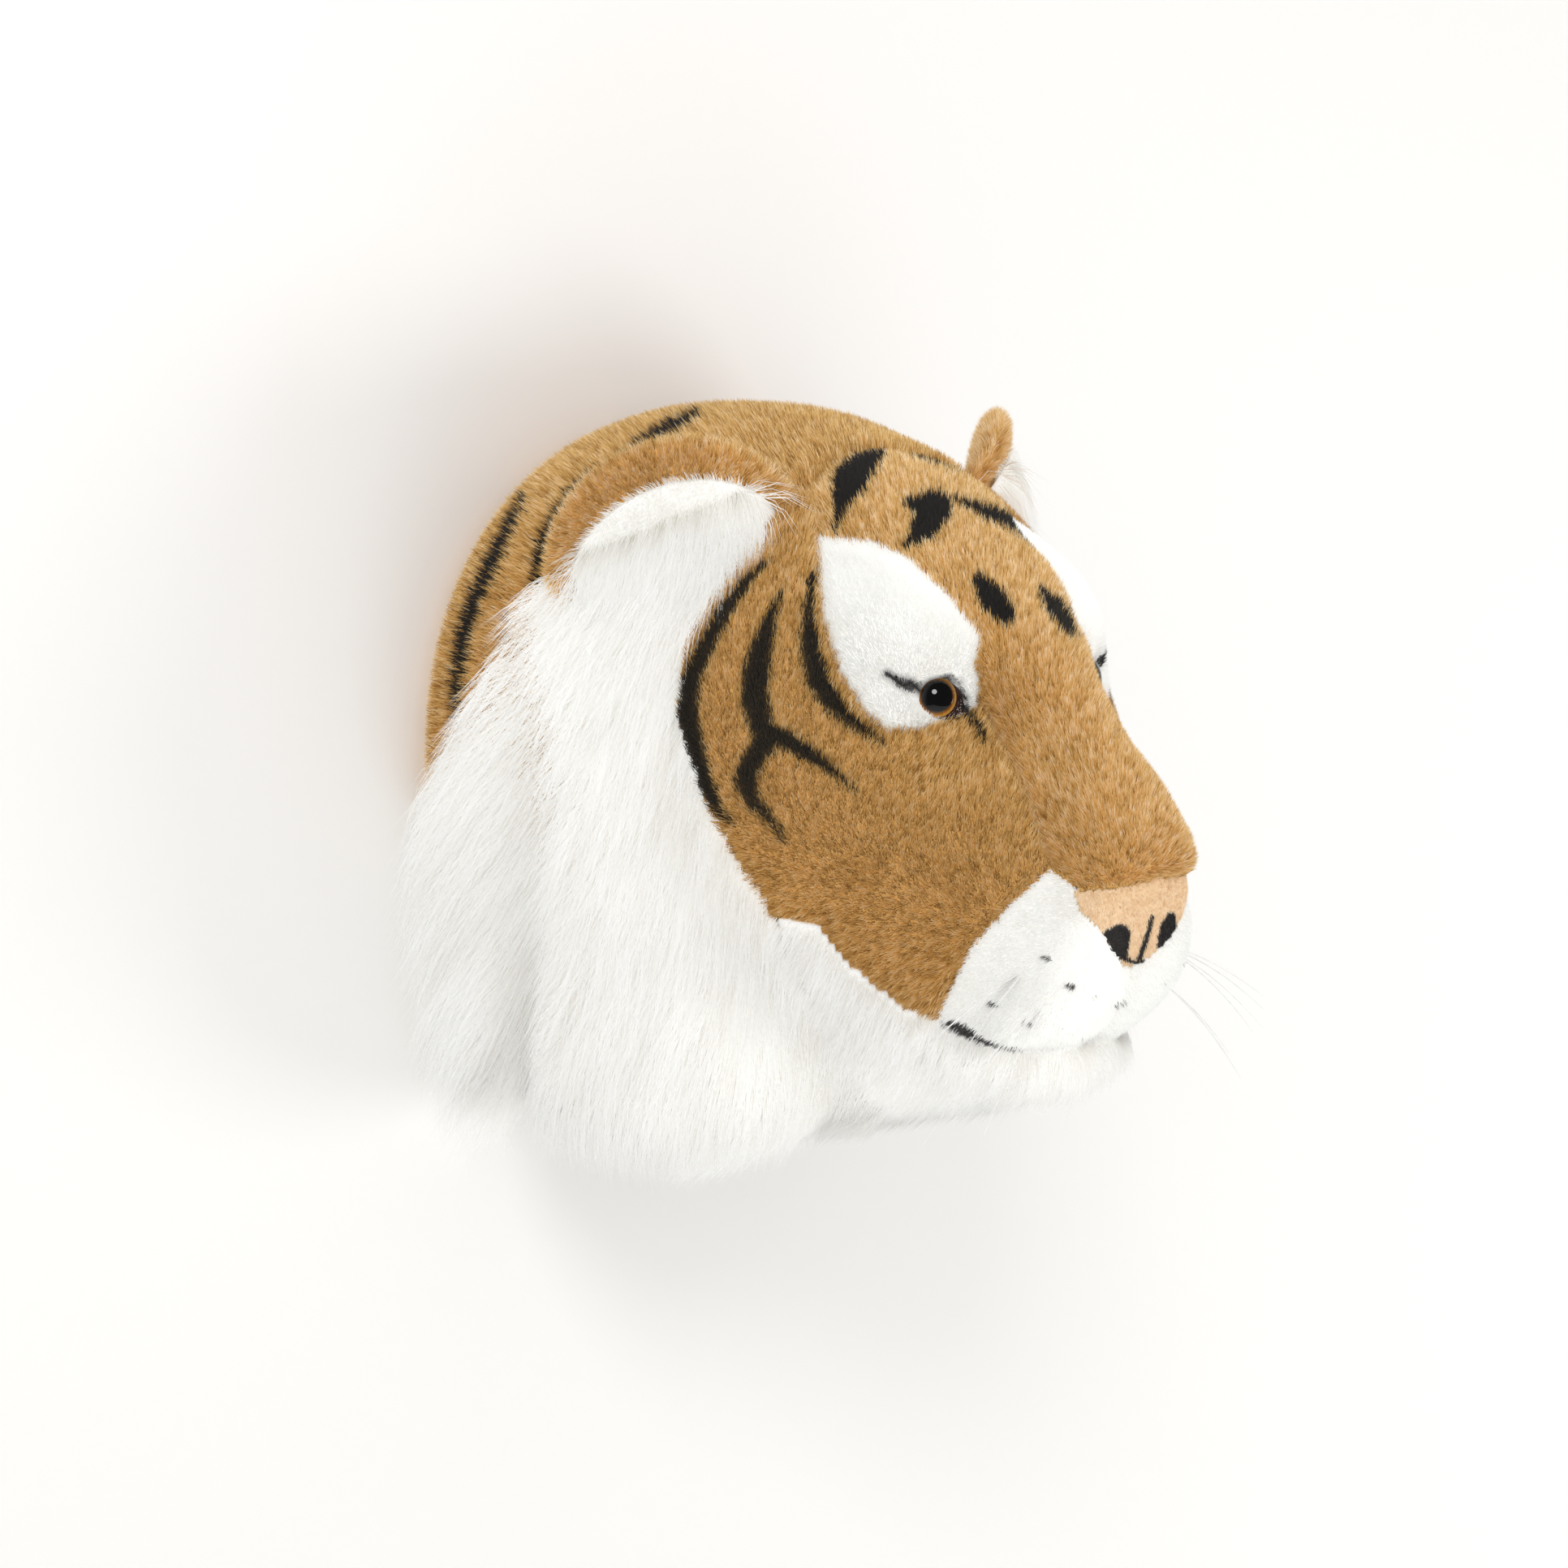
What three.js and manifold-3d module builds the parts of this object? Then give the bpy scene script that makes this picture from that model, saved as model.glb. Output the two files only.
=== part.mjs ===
import * as THREE from 'three';
import { mergeVertices } from 'three/addons/utils/BufferGeometryUtils.js';
import Module from 'manifold-3d';

// Plush tiger head trophy. It hangs on a wall, which is the plane y = 0, and looks along -y.
// x is across, z is up, and "depth" is the distance from the wall, so a point is (x, -depth, z).
// Everything is in millimetres. Shares are written as per cent of the size that they follow.

const wasm = await Module();
wasm.setup();

// Head, measured on the cloth at half the height of the pile
const headDepth = 258;
const headHalfWidth = 117.5;
const crownHeight = 138.5;
const throatDrop = 114;
const noseTipDrop = 10;
const skinThickness = 4;
const seamGap = 0.3;

// Pile that is long enough to change the outline
const ruffEdge = 5;
const ruffSag = 0.4;
const ruffFrontDepth = 104;
const ruffEndDepth = 158;
const ruffRise = 26;
const ruffBackStart = 4;
const ruffCrownStart = 60;
const ruffCrownEnd = 110;
const ruffSideStart = 75;
const partingWidth = 9;
const chinPile = 8;
const chinEdge = 1.5;
const chinRise = 16;
const chinBackRun = 46;
const throatHalfWidth = 30;
const throatFrontDepth = 158;

// Pile of the ruff by height: [share of the throat's drop, length]. It stands out most at the lower corner.
const ruffPile = [[-100, 38], [-70, 50], [-30, 20], [20, 9]];

// Shares of that pile that are left at the seam of the face, in the parting, at the jaw and by the throat
const pileAtSeam = 0.3;
const pileInParting = 0.6;
const pileAtJaw = 0.15;
const pileByThroat = 0.2;

// Backing board and what is fixed to it
const liningThickness = 4.2;
const boardThickness = 9;
const hemWidth = 14;
const hemThickness = 3;
const neckBand = 14;

// Hanger on the back
const hangerHeight = 62;
const ringWire = 1.8;
const ringWidth = 20;
const ringHeight = 14;
const strapWidth = 12;
const strapLength = 26;
const strapThickness = 0.8;
const screwDiameter = 2.4;
const screwLength = 7;
const screwHeadDiameter = 4.8;
const screwHeadHeight = 0.9;
const screwPoint = 1.5;
const screwHeadFlat = 0.6;
const screwHeadEdge = 0.3;
const screwShares = [0.42, 0.82];
const hangerMargin = 3;
const ringCorner = 2;

// Staples that hold the hem
const stapleCount = 12;
const stapleWidth = 10;
const stapleWire = 0.7;
const stapleLeg = 6;

// Eyes
const eyeDepth = 190;
const eyeHeight = 47;
const eyeDiameter = 16;
const eyeBulge = 6.5;
const eyeSunk = 1.6;
const eyeRim = 0.9;
const eyePostDiameter = 4.6;
const eyePostLength = 12;
const eyeRibPitch = 2.2;
const eyeRibCount = 2;
const eyeRibStart = 1.5;
const eyeGroove = 0.84;
const eyePostTip = 0.6;
const washerDiameter = 15;
const washerThickness = 1.4;
const washerPad = 1.2;

// Ears
const earDepth = 105;
const earBelowCrown = 47.5;
const earStandOff = 6;
const earHalfWidth = 47;
const earRise = 42;
const earRoot = 24;
const earThickness = 7;
const earWrap = 18;
const earCurl = 3;
const earYaw = 47;
const earTilt = 21;
const liningSpan = 84;
const liningRise = 66;
const earLiningThickness = 5;

// Whiskers
const whiskerDiameter = 0.8;
const whiskerKnot = 3.2;
const whiskerStem = 1.4;
const whiskerKnotLength = 1.6;
const whiskerDroop = 0.4;
const whiskerThinning = 0.6;

// The seams of the face are cut square to a three-quarter view
const quarterYaw = THREE.MathUtils.degToRad(48);
const far = 400;

// Shape of the head: lines from the wall to the nose tip, [share of the depth, share of the size]
const topLine = [[-2, 90.7], [0, 91.8], [16, 99.8], [26, 100], [40, 94.6], [51.5, 87.6], [64.3, 71.6],
  [80, 46.1], [88.4, 25.2], [94.2, 12.5], [97.7, 3.4], [99.2, 0], [100, -100 * noseTipDrop / crownHeight]];
const bottomLine = [[-2, 87], [0, 88], [19.4, 97.4], [38.8, 100], [58, 94], [75.6, 84.5], [82.2, 80.8],
  [86, 75], [89, 66.5], [92, 54.5], [94.6, 43], [97, 32.5], [98.8, 21.8],
  [100, 100 * noseTipDrop / throatDrop]];
const halfLine = [[-2, 97.3], [0, 98.2], [15.5, 100], [31, 98.1], [46.5, 90.7], [62, 73.4], [71.7, 58.7],
  [77.5, 48.6], [83.3, 40.2], [88.4, 32], [92.2, 27.2], [95.3, 22.8], [97.7, 18.6], [99.2, 12.8],
  [99.8, 6.8], [100, 0]];
const waistLine = [[0, 10.8], [31, 10.8], [46.5, 7.4], [62, 0], [77.5, -12.8], [87.2, -23.1], [92.2, -24.6],
  [95.3, -21.5], [97.7, -15.9], [99.2, -10.3], [100, -100 * noseTipDrop / crownHeight]];
const archLine = [[0, 2.15], [46.5, 2.15], [70, 1.75], [80, 1.62], [88, 1.62], [95, 2.05], [100, 2.2]];
const bellyLine = [[0, 2.2], [46.5, 2.3], [70, 2.4], [85, 2.6], [95, 2.4], [100, 2.2]];

// Rises and hollows of the face: where the middle is, across, as a share of the depth and in height
const swells = [
  { across: 50, share: 70, height: 76, radius: 28, rise: 11 },
  { across: 42, share: 81.5, height: 38, radius: 20, rise: -11 },
  { across: 24, share: 91.5, height: -52, radius: 19, rise: 5.5 },
  { across: 0, share: 88.4, height: -80, radius: 8, rise: -3 },
  { across: 24, share: 87.6, height: -80, radius: 8, rise: -3 },
  { across: 42, share: 82.2, height: -76, radius: 8, rise: -2.5 },
  { across: 0, share: 83, height: -92, radius: 16, rise: 2 },
];

// Seams seen in the three-quarter view, as [quarter, height], where the quarter runs forward and inward
const ruffSeam = [[52, 117], [48, 108], [38, 92], [23, 66], [19, 40], [29, 11], [38, -6], [49, -23],
  [54, -32]];
const jawSeam = [[54, -32], [63, -53], [82, -82], [97, -101]];
const valleySeam = [[-35, 70], [-25, 31], [-23, -57], [-25, -86]];
const cheekSeam = [[54, -32], [70, -34], [82, -49], [102, -65]];
const ruffBackSeam = [[-52, 44], [-74, 4], [-130, -8]];
const ruffTopCorners = [[-60, 90], [-20, 116], [20, 128], [50, 122]];
const chinBackQuarter = 112;

// The same, measured from the eye
const eyePatch = [[-43, 54], [-23, 52], [-9, 46], [3, 35], [13, 24], [16, 19], [14, 10], [16, 2], [15, -4],
  [10, -8], [2, -10], [-6, -12], [-18, -12], [-27, -4], [-35, 10], [-40, 27]];
const browSeam = [[-47, 73], [-39, 50], [-11, 32], [9, 6], [19, -7], [25, -20]];

// The same, measured from the nose tip
const lipPatch = [[-39, -3], [-25, -12], [-22, -20], [-12, -30], [0, -38], [20, -38], [20, -68], [-16, -69],
  [-40, -71], [-62, -68], [-77, -61], [-78, -56], [-67, -31], [-53, -15]];
const noseSeam = [[-47, 19], [-36, -9], [-22, -15]];
const bridgeCorner = [-20, -25];
const mouthSeam = [[-73, -59], [-60, -64], [-40, -67], [-16, -65]];

// Nose pad seen from the front, [across, height from the nose tip]
const nosePad = [[0, -7], [18, -8], [29, -10], [28.5, -18], [18, -31], [6, -40], [0, -41]];

// Seam between the neck and the forehead seen from above, [across, depth]
const neckSeam = [[0, 118], [46, 128], [104, 47], [150, -20]];
const neckSeamHeight = 66;
const neckLap = 3;
const neckSideLap = 12;

// Facets: rings along the head, which crowd towards the nose tip, and points round each ring
const ringCount = 19;
const aroundCount = 26;
const ringShares = [-2, 99.6];
const ringCrowding = 1.7;

// Facets round the small turned pieces
const eyeFacets = 16;
const washerFacets = 12;
const whiskerFacets = 8;
const screwFacets = 14;
const strapFacets = 10;

const place = (across, depth, height) => new THREE.Vector3(across, -depth, height);
const ease = THREE.MathUtils.smoothstep;
const between = THREE.MathUtils.lerp;

function smoothLine(stations, at) {
  const last = stations.length - 1;
  if (at <= stations[0][0]) return stations[0][1];
  if (at >= stations[last][0]) return stations[last][1];
  const slope = (k) => (stations[k + 1][1] - stations[k][1]) / (stations[k + 1][0] - stations[k][0]);
  const tangent = (k) => {
    if (k === 0) return slope(0);
    if (k === last) return slope(last - 1);
    const product = slope(k - 1) * slope(k);
    return product <= 0 ? 0 : 2 * product / (slope(k - 1) + slope(k));
  };
  const i = stations.findIndex((station) => station[0] > at) - 1;
  const length = stations[i + 1][0] - stations[i][0];
  const t = (at - stations[i][0]) / length;
  const rise = (3 - 2 * t) * t * t;
  const bends = (t - 1) * t * ((t - 1) * tangent(i) + t * tangent(i + 1)) * length;
  return stations[i][1] * (1 - rise) + stations[i + 1][1] * rise + bends;
}

// Point of the plain loft at a share of the depth and an angle that starts at the crown
function loftPoint(share, angle) {
  const top = smoothLine(topLine, share) * crownHeight / 100;
  const bottom = -smoothLine(bottomLine, share) * throatDrop / 100;
  const half = smoothLine(halfLine, share) * headHalfWidth / 100;
  const waist = smoothLine(waistLine, share) * crownHeight / 100;
  const up = Math.cos(angle);
  const power = 2 / smoothLine(up >= 0 ? archLine : bellyLine, share);
  const across = half * Math.sign(Math.sin(angle)) * Math.abs(Math.sin(angle)) ** power;
  const height = waist + (up >= 0 ? top - waist : bottom - waist) * Math.abs(up) ** power;
  return place(across, share * headDepth / 100, height);
}

function loftNormal(share, angle) {
  const step = 0.01;
  const along = loftPoint(Math.min(share + step, 100), angle).sub(loftPoint(share - step, angle));
  const round = loftPoint(share, angle + step).sub(loftPoint(share, angle - step));
  const normal = along.cross(round);
  return normal.lengthSq() > 0 ? normal.normalize() : place(0, 1, 0);
}

const swellAt = (point) => swells.reduce((sum, swell) => {
  const middle = place(swell.across, swell.share * headDepth / 100, swell.height);
  const away = place(Math.abs(point.x), -point.y, point.z).distanceTo(middle);
  return sum + swell.rise * Math.exp(-((away / swell.radius) ** 2));
}, 0);

// Rings of the head, closer together towards the nose tip
const headRings = Array.from({ length: ringCount }, (_, i) => {
  const share = between(...ringShares, 1 - (1 - i / (ringCount - 1)) ** ringCrowding);
  return Array.from({ length: aroundCount }, (_, k) => {
    const angle = 2 * Math.PI * k / aroundCount;
    const normal = loftNormal(share, angle);
    const point = loftPoint(share, angle);
    return { point: point.addScaledVector(normal, swellAt(point)), normal };
  });
});

function meshGeometry(points, faces) {
  const geometry = new THREE.BufferGeometry();
  geometry.setAttribute('position', new THREE.Float32BufferAttribute(points.flatMap((p) => p.toArray()), 3));
  geometry.setIndex(faces.flat());
  return geometry;
}

// Closed body over the head's rings, lifted along the normals by a length or by a rule, and sagging.
// The two halves have mirrored facets, so that a mirrored panel fits.
function headGeometry(lift, stride = 1, sag = 0) {
  const liftOf = typeof lift === 'function' ? lift : () => lift;
  const rings = headRings.filter((ring, i) => i % stride === 0);
  const points = rings.flatMap((ring) => ring.map(({ point, normal }) =>
    point.clone().addScaledVector(normal.clone().sub(place(0, 0, sag)), liftOf(point))));
  const tip = place(0, headDepth, -noseTipDrop);
  tip.y -= liftOf(tip);
  const back = place(0, -headRings[0][0].point.y, 0);
  points.push(tip, back);
  const faces = [];
  for (let k = 0; k < aroundCount; k++) {
    const next = (k + 1) % aroundCount;
    for (let i = 0; i < rings.length - 1; i++) {
      const [a, b] = [i * aroundCount, (i + 1) * aroundCount];
      if (k < aroundCount / 2) faces.push([a + k, b + k, b + next], [a + k, b + next, a + next]);
      else faces.push([a + k, b + k, a + next], [b + k, b + next, a + next]);
    }
    const front = (rings.length - 1) * aroundCount;
    faces.push([front + k, points.length - 2, front + next], [next, points.length - 1, k]);
  }
  return meshGeometry(points, faces);
}

const skinAtBack = liningThickness + seamGap;
const shareOf = (depth) => 100 * depth / headDepth;

// Point and outward direction on the right side of the skin, at a depth and a height
function skinAt(depth, height) {
  const halvings = 40;
  let [low, high] = [0, Math.PI];
  for (let i = 0; i < halvings; i++) {
    const middle = (low + high) / 2;
    if (loftPoint(shareOf(depth), middle).z > height) low = middle;
    else high = middle;
  }
  const normal = loftNormal(shareOf(depth), -low);
  const point = loftPoint(shareOf(depth), -low);
  return { point: point.addScaledVector(normal, swellAt(point)), normal };
}

const weldDistance = 1e-4;

function solidOf(geometry) {
  const bare = geometry.clone();
  bare.deleteAttribute('normal');
  bare.deleteAttribute('uv');
  const merged = mergeVertices(bare, weldDistance);
  const corners = Array.from(merged.index.array);
  const triangles = [];
  for (let i = 0; i < corners.length; i += 3) {
    const [a, b, c] = corners.slice(i, i + 3);
    if (a !== b && b !== c && c !== a) triangles.push(a, b, c);
  }
  const vertProperties = new Float32Array(merged.attributes.position.array);
  const triVerts = new Uint32Array(triangles);
  return new wasm.Manifold(new wasm.Mesh({ numProp: 3, vertProperties, triVerts }));
}

function geometryOf(solid) {
  const { vertProperties, triVerts } = solid.getMesh();
  const geometry = new THREE.BufferGeometry();
  geometry.setAttribute('position', new THREE.BufferAttribute(vertProperties, 3));
  geometry.setIndex(new THREE.BufferAttribute(triVerts, 1));
  geometry.computeVertexNormals();
  return geometry;
}

function mirrored(solid) {
  const geometry = geometryOf(solid).scale(-1, 1, 1);
  const corners = geometry.index.array;
  for (let i = 0; i < corners.length; i += 3) [corners[i], corners[i + 1]] = [corners[i + 1], corners[i]];
  return solidOf(geometry);
}

// Block between two depths, optionally between two distances across and two heights
function block(depths, across = [-far, far], heights = [-far, far]) {
  const size = [across, depths, heights].map(([from, to]) => to - from);
  const middle = [across, depths, heights].map(([from, to]) => (from + to) / 2);
  return solidOf(new THREE.BoxGeometry(...size).translate(middle[0], -middle[1], middle[2]));
}

// Outline with every side moved outwards, and its sharpest corners kept short
const shortestCosine = 0.4;

function grown(outline, by) {
  const points = outline.map(([x, y]) => new THREE.Vector2(x, y));
  if (THREE.ShapeUtils.area(points) < 0) points.reverse();
  const count = points.length;
  return points.map((here, i) => {
    const before = here.clone().sub(points[(i + count - 1) % count]).normalize();
    const after = points[(i + 1) % count].clone().sub(here).normalize();
    const out = new THREE.Vector2(before.y + after.y, -before.x - after.x).normalize();
    const cosine = Math.max(out.x * before.y - out.y * before.x, shortestCosine);
    return here.clone().addScaledVector(out, by / cosine);
  });
}

// Prism on an outline, whose sides run along the third direction
function prism(outline, grow, [right, up, along], length = 2 * far) {
  const shape = new THREE.Shape(grown(outline, grow));
  const geometry = new THREE.ExtrudeGeometry(shape, { depth: length, bevelEnabled: false });
  geometry.translate(0, 0, -length / 2);
  return solidOf(geometry.applyMatrix4(new THREE.Matrix4().makeBasis(right, up, along)));
}

const quarterBasis = [place(Math.cos(quarterYaw), Math.sin(quarterYaw), 0), place(0, 0, 1),
  place(-Math.sin(quarterYaw), Math.cos(quarterYaw), 0)];
const frontBasis = [place(1, 0, 0), place(0, 0, 1), place(0, 1, 0)];
const planBasis = [place(1, 0, 0), place(0, -1, 0), place(0, 0, 1)];
const quarterOf = (point) => [point.dot(quarterBasis[0]), point.z];
const from = ([quarter, height], offsets) => offsets.map(([q, h]) => [quarter + q, height + h]);

// The right side stops short of the middle, and a half that is mirrored and joined runs past it
const middleOverlap = 0.5;
const rightSide = block([-far, far], [-far, -seamGap / 2]);
const rightHalf = block([-far, far], [-far, middleOverlap]);

function both(solid) {
  const half = solid.intersect(rightHalf);
  return half.add(mirrored(half));
}

// Landmarks of the right side. The eyes look ahead more than up.
const eye = skinAt(eyeDepth, eyeHeight);
eye.normal.setZ(eye.normal.z / 2).normalize();
const eyeQuarter = quarterOf(eye.point);
const tipQuarter = quarterOf(place(0, headDepth, -noseTipDrop));
const ear = skinAt(earDepth, crownHeight - earBelowCrown);
ear.point.addScaledVector(ear.normal, earStandOff);

// Long pile: it rises behind the seam of the face, grows towards the throat and parts at the valley
const byHeight = (seam) => seam.map(([quarter, height]) => [height, quarter]).sort((a, b) => a[0] - b[0]);
const frontByHeight = byHeight([...ruffSeam, ...jawSeam.slice(1)]);
const valleyByHeight = byHeight(valleySeam);

function ruffLift(point) {
  const right = place(-Math.abs(point.x), -point.y, point.z);
  const [quarter, height] = quarterOf(right);
  const pile = smoothLine(ruffPile, 100 * height / throatDrop);
  const behindSeam = between(pileAtSeam, 1, ease(smoothLine(frontByHeight, height) - quarter, 0, ruffRise));
  const fromValley = quarter - smoothLine(valleyByHeight, height);
  const parting = between(1, pileInParting, Math.exp(-((fromValley / partingWidth) ** 2)));
  const crown = 1 - ease(height, ruffCrownStart, ruffCrownEnd);
  const underside = ease(-height, throatDrop / 2, throatDrop);
  const jaw = between(1, pileAtJaw, underside * ease(-point.y, ruffFrontDepth, ruffEndDepth));
  const side = between(pileByThroat, 1, ease(-right.x, throatHalfWidth, ruffSideStart));
  return Math.max(ruffEdge, pile * behindSeam * parting * crown * jaw * side);
}

function chinLift(point) {
  const underLip = ease(tipQuarter[1] + mouthSeam[1][1] - point.z, 0, chinRise);
  const behindLip = ease(headDepth - chinBackRun + point.y, 0, chinRise);
  return between(chinEdge, chinPile, Math.max(underLip, behindLip));
}

// Inside of the skin, and the shells that the panels are cut from
const hemBack = skinAtBack - seamGap - hemThickness;
const liningStride = 1;
const pileStride = 2;
const inside = solidOf(headGeometry(-skinThickness, liningStride))
  .intersect(block([skinAtBack - seamGap, far]));

function rimOutline(inset, count = aroundCount) {
  return Array.from({ length: count }, (_, k) => {
    const angle = 2 * Math.PI * k / count;
    const normal = loftNormal(shareOf(skinAtBack), angle).setY(0).normalize();
    const point = loftPoint(shareOf(skinAtBack), angle).addScaledVector(normal, -inset);
    return [point.x, point.z];
  });
}

function plate(outline, grow, depthFrom, depthTo) {
  const solid = prism(outline, grow, frontBasis);
  return solid.intersect(block([depthFrom, depthTo]));
}

const boardInset = skinThickness + seamGap;
const liningOutline = rimOutline(boardInset + hemWidth);
const liningCut = plate(liningOutline, seamGap, -far, skinAtBack);
const boardFront = skinAtBack + boardThickness;
const boardCut = plate(rimOutline(boardInset), seamGap, skinAtBack - seamGap, boardFront + seamGap);
const shellOf = (lift, stride, sag) => solidOf(headGeometry(lift, stride, sag))
  .intersect(block([hemBack, far])).subtract(inside).subtract(liningCut).subtract(boardCut);
const skinShell = shellOf(0);
const ruffShell = shellOf(ruffLift, pileStride, ruffSag);
const chinShell = shellOf(chinLift);

// Outlines of the panels. An outline that runs past the head ends there at rough corners.
const reversed = (line) => [...line].reverse();
const underValley = [valleySeam.at(-1)[0], -far / 2];
const ruffFrontOutline = [...ruffSeam, ...jawSeam.slice(1), [chinBackQuarter, -far / 2], underValley,
  ...reversed(valleySeam), ...ruffTopCorners];
const ruffBackOutline = [...valleySeam, underValley, [-far / 2, -far / 2], ...reversed(ruffBackSeam)];
const neckSideOutline = [...valleySeam, underValley, [-far / 2, -far / 2],
  [-far / 2, neckSeamHeight + neckSideLap], [valleySeam[0][0] - neckLap, neckSeamHeight + neckSideLap]];
const neckTopOutline = [[neckLap, far / 4], [neckLap, -neckSeam[0][1]],
  ...neckSeam.map(([across, depth]) => [-across, -depth]), [-neckSeam.at(-1)[0], far / 4]];
const chinOutline = [...cheekSeam, ...from(tipQuarter, mouthSeam),
  [far, tipQuarter[1] + mouthSeam.at(-1)[1]], [far, -far / 2],
  [chinBackQuarter, -far / 2], ...reversed(jawSeam)].slice(0, -1);
const bridgeOutline = [...from(eyeQuarter, browSeam), ...from(tipQuarter, noseSeam),
  ...from(tipQuarter, [bridgeCorner]), [far, tipQuarter[1] + bridgeCorner[1]], [far, far / 2],
  [eyeQuarter[0] + browSeam[0][0], far / 2]];
const nosePadMirrored = reversed(nosePad).slice(1, -1).map(([across, height]) => [-across, height]);
const nosePadOutline = [...nosePad, ...nosePadMirrored]
  .map(([across, height]) => [across, height - noseTipDrop]);

const quarterPrism = (outline) => (grow) => prism(outline, grow, quarterBasis);
const noseCutter = (grow) => prism(nosePadOutline, grow, frontBasis).intersect(block([headDepth / 2, far]));
const neckCutter = (grow) => prism(neckTopOutline, grow, planBasis)
  .intersect(block([-far, far], [-far, far], [neckSeamHeight - grow, far]))
  .add(quarterPrism(neckSideOutline)(grow).intersect(rightHalf))
  .add(block([-far, neckBand + grow]));
const throatCutter = (grow) => block([0, throatFrontDepth],
  [-throatHalfWidth - grow, throatHalfWidth + grow], [-far, -throatDrop / 2]);
const everything = () => block([-far, far]);

const taken = [];
const scrapVolume = 1;

// Cuts one panel of a shell, clear of the panels before it. A panel in the middle spans both sides.
// Scraps between two seams, too small to sew, are left out.
function panel(shell, cutter, middle) {
  let solid = shell.intersect(middle ? both(cutter(0)) : cutter(0).intersect(rightSide));
  for (const earlier of taken) solid = solid.subtract(earlier);
  taken.push(both(cutter(seamGap)));
  return solid.decompose().filter((piece) => piece.volume() > scrapVolume)
    .reduce((sum, piece) => sum.add(piece));
}

const panels = {
  nose_pad: panel(skinShell, noseCutter, true),
  eye_patch: panel(skinShell, quarterPrism(from(eyeQuarter, eyePatch))),
  lip: panel(skinShell, quarterPrism(from(tipQuarter, lipPatch))),
  neck_panel: panel(skinShell, neckCutter),
  bridge_panel: panel(skinShell, quarterPrism(bridgeOutline), true),
  chin_panel: panel(chinShell, quarterPrism(chinOutline), true),
  throat_panel: panel(ruffShell, throatCutter, true),
  ruff_front: panel(ruffShell, quarterPrism(ruffFrontOutline)),
  cheek: panel(skinShell, everything),
};
panels.ruff_back = solidOf(headGeometry(ruffLift, pileStride, ruffSag))
  .intersect(block([hemBack + ruffBackStart, far])).subtract(solidOf(headGeometry(seamGap)))
  .intersect(quarterPrism(ruffBackOutline)(-seamGap / 2).intersect(rightSide))
  .subtract(both(throatCutter(seamGap)));

const white = 0xf4f3ef;
const tan = 0xb8803c;
const salmon = 0xf0c49e;
const brown = 0x2a1608;
const wood = 0xb08a5c;
const charcoal = 0x3a3a3c;
const steel = 0xc9c9c9;
const brass = 0xc9a24a;

const core = solidOf(headGeometry(-boardInset, liningStride));

// Eye: a domed front on a ribbed post, held by a washer behind the skin
function turned(profile, segments) {
  const points = profile.map(([radius, along]) => new THREE.Vector2(radius, along));
  return new THREE.LatheGeometry(points, segments);
}

function eyeProfile(grow) {
  const radius = eyeDiameter / 2 + grow;
  const post = eyePostDiameter / 2 + grow;
  const end = -eyePostLength - grow;
  const profile = [[0, end], [post * eyePostTip, end]];
  for (let rib = 0; rib < eyeRibCount; rib++) {
    const at = end + eyeRibStart + eyeRibPitch * rib;
    profile.push([post, at], [post * (grow > 0 ? 1 : eyeGroove), at + eyeRibPitch / 2]);
  }
  profile.push([post, -grow], [radius, -grow], [radius, eyeRim]);
  const domeSteps = 4;
  for (let step = 1; step < domeSteps; step++) {
    const angle = Math.PI / 2 * step / domeSteps;
    profile.push([radius * Math.cos(angle), eyeRim + (eyeBulge - eyeRim + grow) * Math.sin(angle)]);
  }
  return [...profile, [0, eyeBulge + grow]];
}

function washerProfile(grow) {
  const [outer, inner] = [washerDiameter / 2 + grow, eyePostDiameter / 2 + seamGap - grow];
  const [low, high] = [-washerThickness - grow, grow];
  return [[inner, low], [outer, low], [outer, high], [inner, high], [inner, low]];
}

// Matrix that stands a turned piece on a point, with its axis along a direction
function standing(point, direction, sunk = 0) {
  const turn = new THREE.Quaternion().setFromUnitVectors(place(0, -1, 0), direction);
  const at = point.clone().addScaledVector(direction, -sunk);
  return new THREE.Matrix4().compose(at, turn, new THREE.Vector3(1, 1, 1));
}

const eyePlace = standing(eye.point, eye.normal, eyeSunk);
const washerDrop = skinThickness + washerPad + seamGap;
const washerPlace = standing(eye.point, eye.normal, washerDrop);
const eyeCut = both(solidOf(turned(eyeProfile(seamGap), eyeFacets).applyMatrix4(eyePlace)));
const washerRoom = washerDiameter / 2 + seamGap;
const washerBack = -washerThickness - seamGap;
const washerSpace = [[0, washerBack], [washerRoom, washerBack], [washerRoom, seamGap], [0, seamGap]];
const washerCut = both(solidOf(turned(washerSpace, washerFacets).applyMatrix4(washerPlace)));

// Ear: a cupped shield whose root follows the head, and a lining that fills the cup
const yaw = THREE.MathUtils.degToRad(earYaw);
const tilt = THREE.MathUtils.degToRad(earTilt);
const earFlat = place(Math.cos(yaw), Math.sin(yaw), 0);
const earAlong = earFlat.clone().multiplyScalar(Math.cos(tilt)).setZ(Math.sin(tilt));
const earUp = earFlat.clone().multiplyScalar(-Math.sin(tilt)).setZ(Math.cos(tilt));
const earOut = earAlong.clone().cross(earUp);
const earSpokes = 20;
const earRounds = [0.45, 0.8, 1];
const earEdgeThinning = 0.3;

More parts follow.
